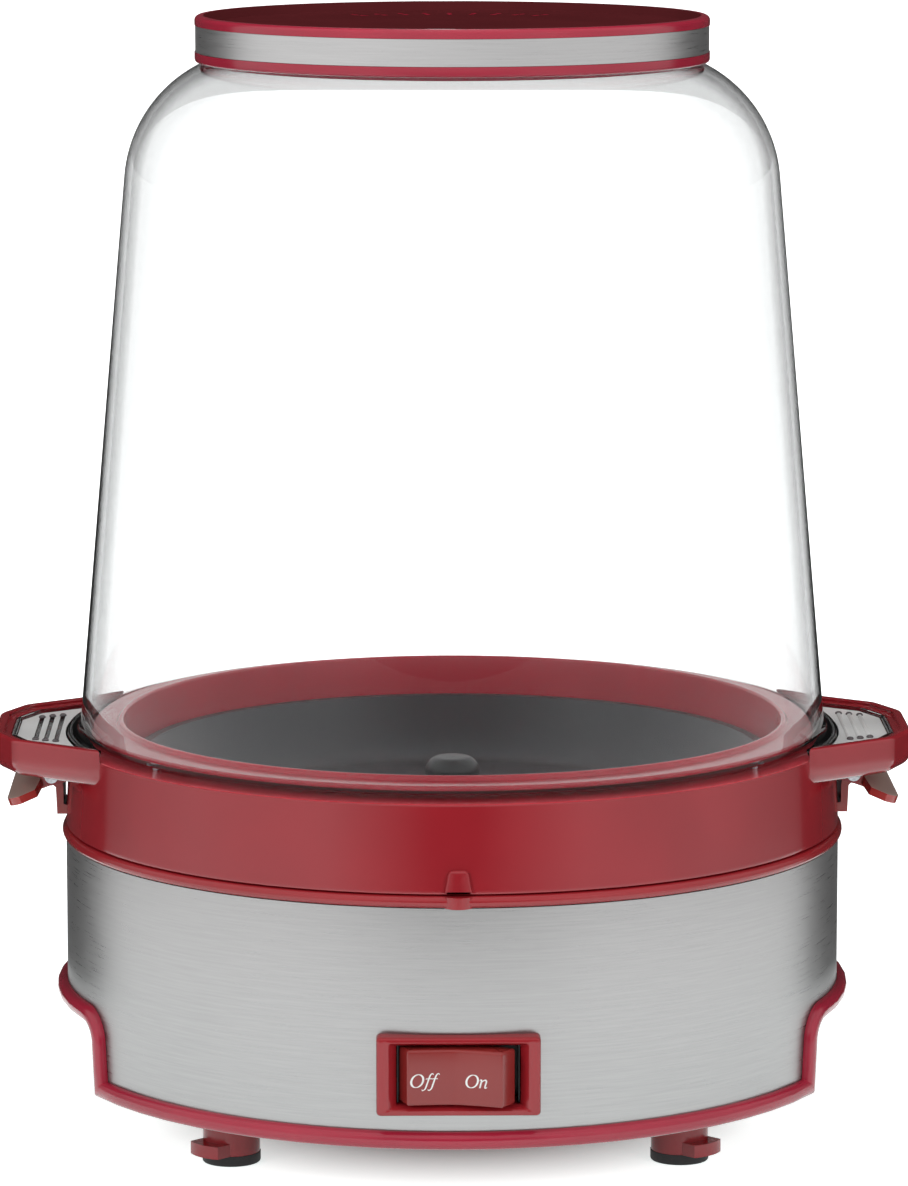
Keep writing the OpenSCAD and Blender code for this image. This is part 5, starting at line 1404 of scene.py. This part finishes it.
        # Start of each word, and the place of each stroke in it, in ems
        words = {
            "lettering_off": (
                -14.6, [(0.0, ring), (0.66, f_stem), (0.66, f_bar), (0.98, f_stem), (0.98, f_bar)]),
            "lettering_on": (3.0, [(0.0, ring), (0.70, n_stem), (0.70, n_arch)]),
        }
        proud, sunk = 0.25, -0.1
        for name, (start, strokes) in words.items():
            points, faces = [], []
            for place, (path, widths) in strokes:
                left, right = self.stroke(path, widths)
                sides = np.stack([left, right, right, left], axis=1) + np.array([place, 0.0])
                x = start + self.em * (sides[..., 0] + self.slant * sides[..., 1])
                z = self.line_z + self.em * sides[..., 1]
                y = self.front(x) + np.array([proud, proud, sunk, sunk])
                p, f = lofted(np.stack([x, y, z], axis=-1))
                faces += [[v + sum(len(q) for q in points) for v in face] for face in f]
                points.append(p)
            word = self.placed(np.vstack(points))
            new_piece(name, word, faces, materials["white_ink"], "rocker", "rocker_plastic", 40.0)

    def bezel_frame(self, materials: dict[str, bpy.types.Material]) -> None:
        """The bezel: round rectangles carried from the sleeve over the face, down the window and back.

        Each step has a width, a height, a corner's radius and a depth, or None to lie on the sleeve.

        Args:
            materials: materials by name.
        """
        w, h = self.bezel
        a, b = self.window
        tail, face, back = (a + 4.76, b + 2.76), self.bezel_y, 120.2
        steps = [
            (w, h, 1.6, None), (w, h, 1.6, face - 1.7), (w - 0.25, h - 0.25, 1.5, face - 0.9),
            (w - 0.8, h - 0.8, 1.3, face - 0.25), (w - 1.7, h - 1.7, 1.1, face),
            (a + 5.6, b + 3.0, 0.9, face), (a + 4.9, b + 2.4, 0.8, face - 0.25),
            (a + 0.4, b + 0.2, 0.6, face - 3.0), (a, b, 0.6, face - 3.5), (a, b, 0.6, back),
            (*tail, 0.8, back), (*tail, 0.8, None)]
        loops = []
        for width, height, radius, depth in steps:
            flat = rounded_rectangle(width, height, radius)
            y = -np.sqrt(self.drum**2 - flat[:, 0] ** 2) if depth is None else np.full(len(flat), -depth)
            loops.append(np.stack([flat[:, 0], y, flat[:, 1] + self.height], axis=1))
        loops = np.stack(loops)
        faces = grid_faces(len(steps), loops.shape[1], True, True)
        new_piece("bezel_frame", loops.reshape(-1, 3), faces, materials["red_plastic"], "base", "red_plastic",
                  38.0, ("switch_bezel",))

    def build(self, materials: dict[str, bpy.types.Material]) -> None:
        """Builds the bezel, the rocker and its lettering.

        Args:
            materials: materials by name.
        """
        self.bezel_frame(materials)
        self.rocker(materials)
        self.letters(materials)


# ---- Stage ----


@dataclass
class Stage:
    """Pale floor, soft studio light, white surroundings and the camera."""

    eye: tuple[float, float, float] = (-0.0293, -1.9510, 0.4846)
    aim_x: float = 0.0006
    tilt: float = 8.897
    lens: float = 175.94
    # Floor colour, tinted cyan to offset the red light that bounces off the machine
    floor_shade: Colour = (0.78, 0.81, 0.81)
    ambient: float = 0.24
    card: float = 0.04
    box_glow: float = 1.12
    # Angles from the front, in degrees, between which the soft box's glow changes
    gap: tuple[float, float] = (6.0, 34.0)
    side: tuple[float, float] = (74.0, 124.0)
    side_high: tuple[float, float] = (95.0, 132.0)
    back: tuple[float, float] = (168.0, 179.0)
    # Floor: two distances from the axis in metres, and the glow at each; below zero near the axis, the glow is
    # a painted shadow under the machine
    shade_glow: tuple[float, float, float, float] = (0.055, 0.106, -0.5, 0.27)
    far_glow: tuple[float, float, float, float] = (0.16, 0.9, 0.60, 0.95)
    floor_half: float = 40.0

    def backdrop_share(self, tree: Tree) -> bpy.types.NodeSocket:
        """1 for rays from the camera, a gloss or a clear piece, else 0.

        Args:
            tree: the material's or world's tree.

        Returns:
            The share.
        """
        path = tree.node("LightPath")
        seen = tree.math("MAXIMUM", path.outputs["Is Camera Ray"], path.outputs["Is Glossy Ray"])
        return tree.math("MAXIMUM", seen, path.outputs["Is Transmission Ray"])

    def surroundings(self) -> None:
        """A world that is white where it is seen and softer as a lamp."""
        world = bpy.data.worlds.new("studio")
        bpy.context.scene.world = world
        world.use_nodes = True
        tree = Tree(world.node_tree)
        strength = tree.math("MULTIPLY_ADD", self.backdrop_share(tree), 1.0 - self.ambient, self.ambient)
        light = tree.node("Background", None, Color=WHITE, Strength=strength)
        tree.node("OutputWorld", None, Surface=light.outputs[0])

    def staged(
        self, name: str, points: np.ndarray, faces: np.ndarray, material: bpy.types.Material
    ) -> bpy.types.Object:
        """A stage object from points in metres.

        Args:
            name: its name.
            points: its points.
            faces: its quads.
            material: its material.

        Returns:
            The new object.
        """
        mesh = bpy.data.meshes.new(name)
        mesh.from_pydata(np.asarray(points).tolist(), [], np.asarray(faces).tolist())
        mesh.materials.append(material)
        made = bpy.data.objects.new(name, mesh)
        bpy.context.scene.collection.objects.link(made)
        return made

    def floor(self) -> None:
        """A wide pale floor with a glow that paints a shadow under the machine and grows with distance, tinted
        cyan near the machine against its red bounce light.
        """
        material, tree, bsdf = blank_material("pale_floor")
        noise = tree.node("TexNoise", None, Vector=tree.node("TexCoord").outputs["Object"], Scale=3.0)
        low, high = rgba(self.floor_shade, 0.99), rgba(self.floor_shade, 1.01)
        tree.feed(bsdf.inputs["Base Color"], tree.mix(noise.outputs[0], low, high))
        bsdf.inputs["Roughness"].default_value = 0.6
        bsdf.inputs["Specular IOR Level"].default_value = 0.2
        place = tree.node("TexCoord").outputs["Object"]
        far = tree.node("VectorMath", {"operation": "LENGTH"}, i0=place).outputs["Value"]
        # Painted shadow: the first span goes below zero and darkens the floor under the machine
        glow = tree.math("ADD", tree.span(far, *self.shade_glow), tree.span(far, *self.far_glow))
        strength = tree.math("MULTIPLY", self.backdrop_share(tree), glow)
        # Painted counter-tint: cyan near the machine offsets its red bounce light, fading to white further out
        tint = tree.mix(tree.span(far, 0.12, 0.5), rgba((0.93, 1.0, 0.99)), WHITE)
        lit = tree.node("Emission", None, Color=tint, Strength=strength)
        both = tree.node("AddShader", None, i0=bsdf.outputs[0], i1=lit.outputs[0])
        end = next(n for n in tree.tree.nodes if n.type == "OUTPUT_MATERIAL")
        tree.feed(end.inputs["Surface"], both.outputs[0])
        half = self.floor_half
        corners = np.array([[-half, -half, 0], [half, -half, 0], [half, half, 0], [-half, half, 0]])
        self.staged("floor", corners, np.array([[0, 1, 2, 3]]), material)

    def box_strength(self, tree: Tree) -> bpy.types.NodeSocket:
        """Glow of the soft box: a dark gap in front, bright beside it, dark at the sides, lit at the back.

        Args:
            tree: the box's tree.

        Returns:
            The strength, from the angle from the front, the height and the side.
        """
        x, y, z = tree.node("SeparateXYZ", None, Vector=tree.node("TexCoord").outputs["Object"]).outputs
        turn = tree.math("ABSOLUTE", tree.math("ARCTAN2", x, tree.math("MULTIPLY", y, -1.0)))
        upper = tree.span(z, 0.16, 0.30)
        gap = tree.math("MAXIMUM", upper, tree.span(turn, *np.radians(self.gap), self.card, 1.0))
        reaches = (self.side, self.side_high)
        low, high = (tree.span(turn, *np.radians(reach), 1.0, self.card) for reach in reaches)
        side = tree.math("ADD", low, tree.math("MULTIPLY", upper, tree.math("SUBTRACT", high, low)))
        lean = tree.span(x, -0.2, 0.2, self.box_glow, self.box_glow * 0.84)
        glow = tree.math("MULTIPLY", lean, tree.math("MULTIPLY", gap, side))
        return tree.math("ADD", tree.span(turn, *np.radians(self.back)), glow)

    def screens(self) -> None:
        """A soft box and two dark cards round the machine, seen only in gloss.

        Each screen is part of a cylinder: x = r sin a, y = -r cos a, with a from the front.
        """
        columns = 97
        for name, reach, radius, heights in (
            ("wrap", (-180.0, 180.0), 0.62, (-0.1, 1.9)),
            ("near_left", (-179.0, -100.0), 0.28, (0.002, 0.5)),
            ("near_right", (100.0, 179.0), 0.28, (0.002, 0.5)),
        ):
            a = np.radians(np.linspace(*reach, columns))
            around = radius * np.stack([np.sin(a), -np.cos(a)], axis=1)
            points = np.concatenate([np.insert(around, 2, z, axis=1) for z in heights])
            material = bpy.data.materials.new(name)
            material.use_nodes = True
            tree = Tree(material.node_tree)
            strength = self.box_strength(tree) if name == "wrap" else self.card
            lit = tree.node("Emission", None, Color=WHITE, Strength=strength)
            tree.node("OutputMaterial", None, Surface=lit.outputs[0])
            screen = self.staged(name, points, grid_faces(2, columns, False, False), material)
            screen.visible_camera = screen.visible_diffuse = screen.visible_shadow = False
            screen.visible_transmission = False

    def lamp(self, name: str, place: tuple, aim: tuple, size: tuple[float, float], watts: float) -> None:
        """An area lamp that lights but isn't mirrored.

        Args:
            name: its name.
            place: where it hangs.
            aim: the point that it faces.
            size: its width and height in metres.
            watts: its power.
        """
        data = bpy.data.lights.new(name, "AREA")
        data.shape = "RECTANGLE"
        data.size, data.size_y = size
        data.energy = watts
        lamp = bpy.data.objects.new(name, data)
        lamp.location = place
        lamp.rotation_euler = (Vector(aim) - Vector(place)).to_track_quat("-Z", "Y").to_euler()
        lamp.visible_glossy = lamp.visible_transmission = False
        bpy.context.scene.collection.objects.link(lamp)

    def camera(self) -> None:
        """A long lens a little above the lid, tilted down."""
        data = bpy.data.cameras.new("camera")
        data.lens = self.lens
        data.sensor_width = 36.0
        data.sensor_fit = "AUTO"
        data.clip_end = 100.0
        camera = bpy.data.objects.new("camera", data)
        camera.location = self.eye
        heading = math.atan2(self.aim_x - self.eye[0], -self.eye[1])
        camera.rotation_euler = (math.radians(90 - self.tilt), 0.0, -heading)
        bpy.context.scene.collection.objects.link(camera)
        bpy.context.scene.camera = camera

    def build(self) -> None:
        """Makes the floor, screens, lamps, surroundings and camera."""
        bpy.context.scene.view_settings.view_transform = "Standard"
        self.surroundings()
        self.floor()
        self.screens()
        middle = (0.0, 0.0, 0.14)
        self.lamp("lamp_left", (-1.2, -1.5, 0.9), middle, (0.9, 1.2), 17.0)
        self.lamp("lamp_right", (1.2, -1.5, 0.9), middle, (0.9, 1.2), 15.0)
        self.lamp("lamp_top", (0.0, -0.1, 2.0), middle, (1.1, 1.1), 18.0)
        self.camera()
        log.info("stage ready")


def main() -> None:
    """Builds the finishes, the pieces and the stage, in order."""
    logging.basicConfig(level=logging.INFO, format="%(message)s")
    shared = SharedEffects()
    materials = Finishes().build(shared)
    for assembly in (SteelSleeve(), Collar(), ClearBowl(), RockerSwitch()):
        assembly.build(materials)
    CarriedNodes().dress(materials)
    Stage().build()


if __name__ == "__main__":
    main()
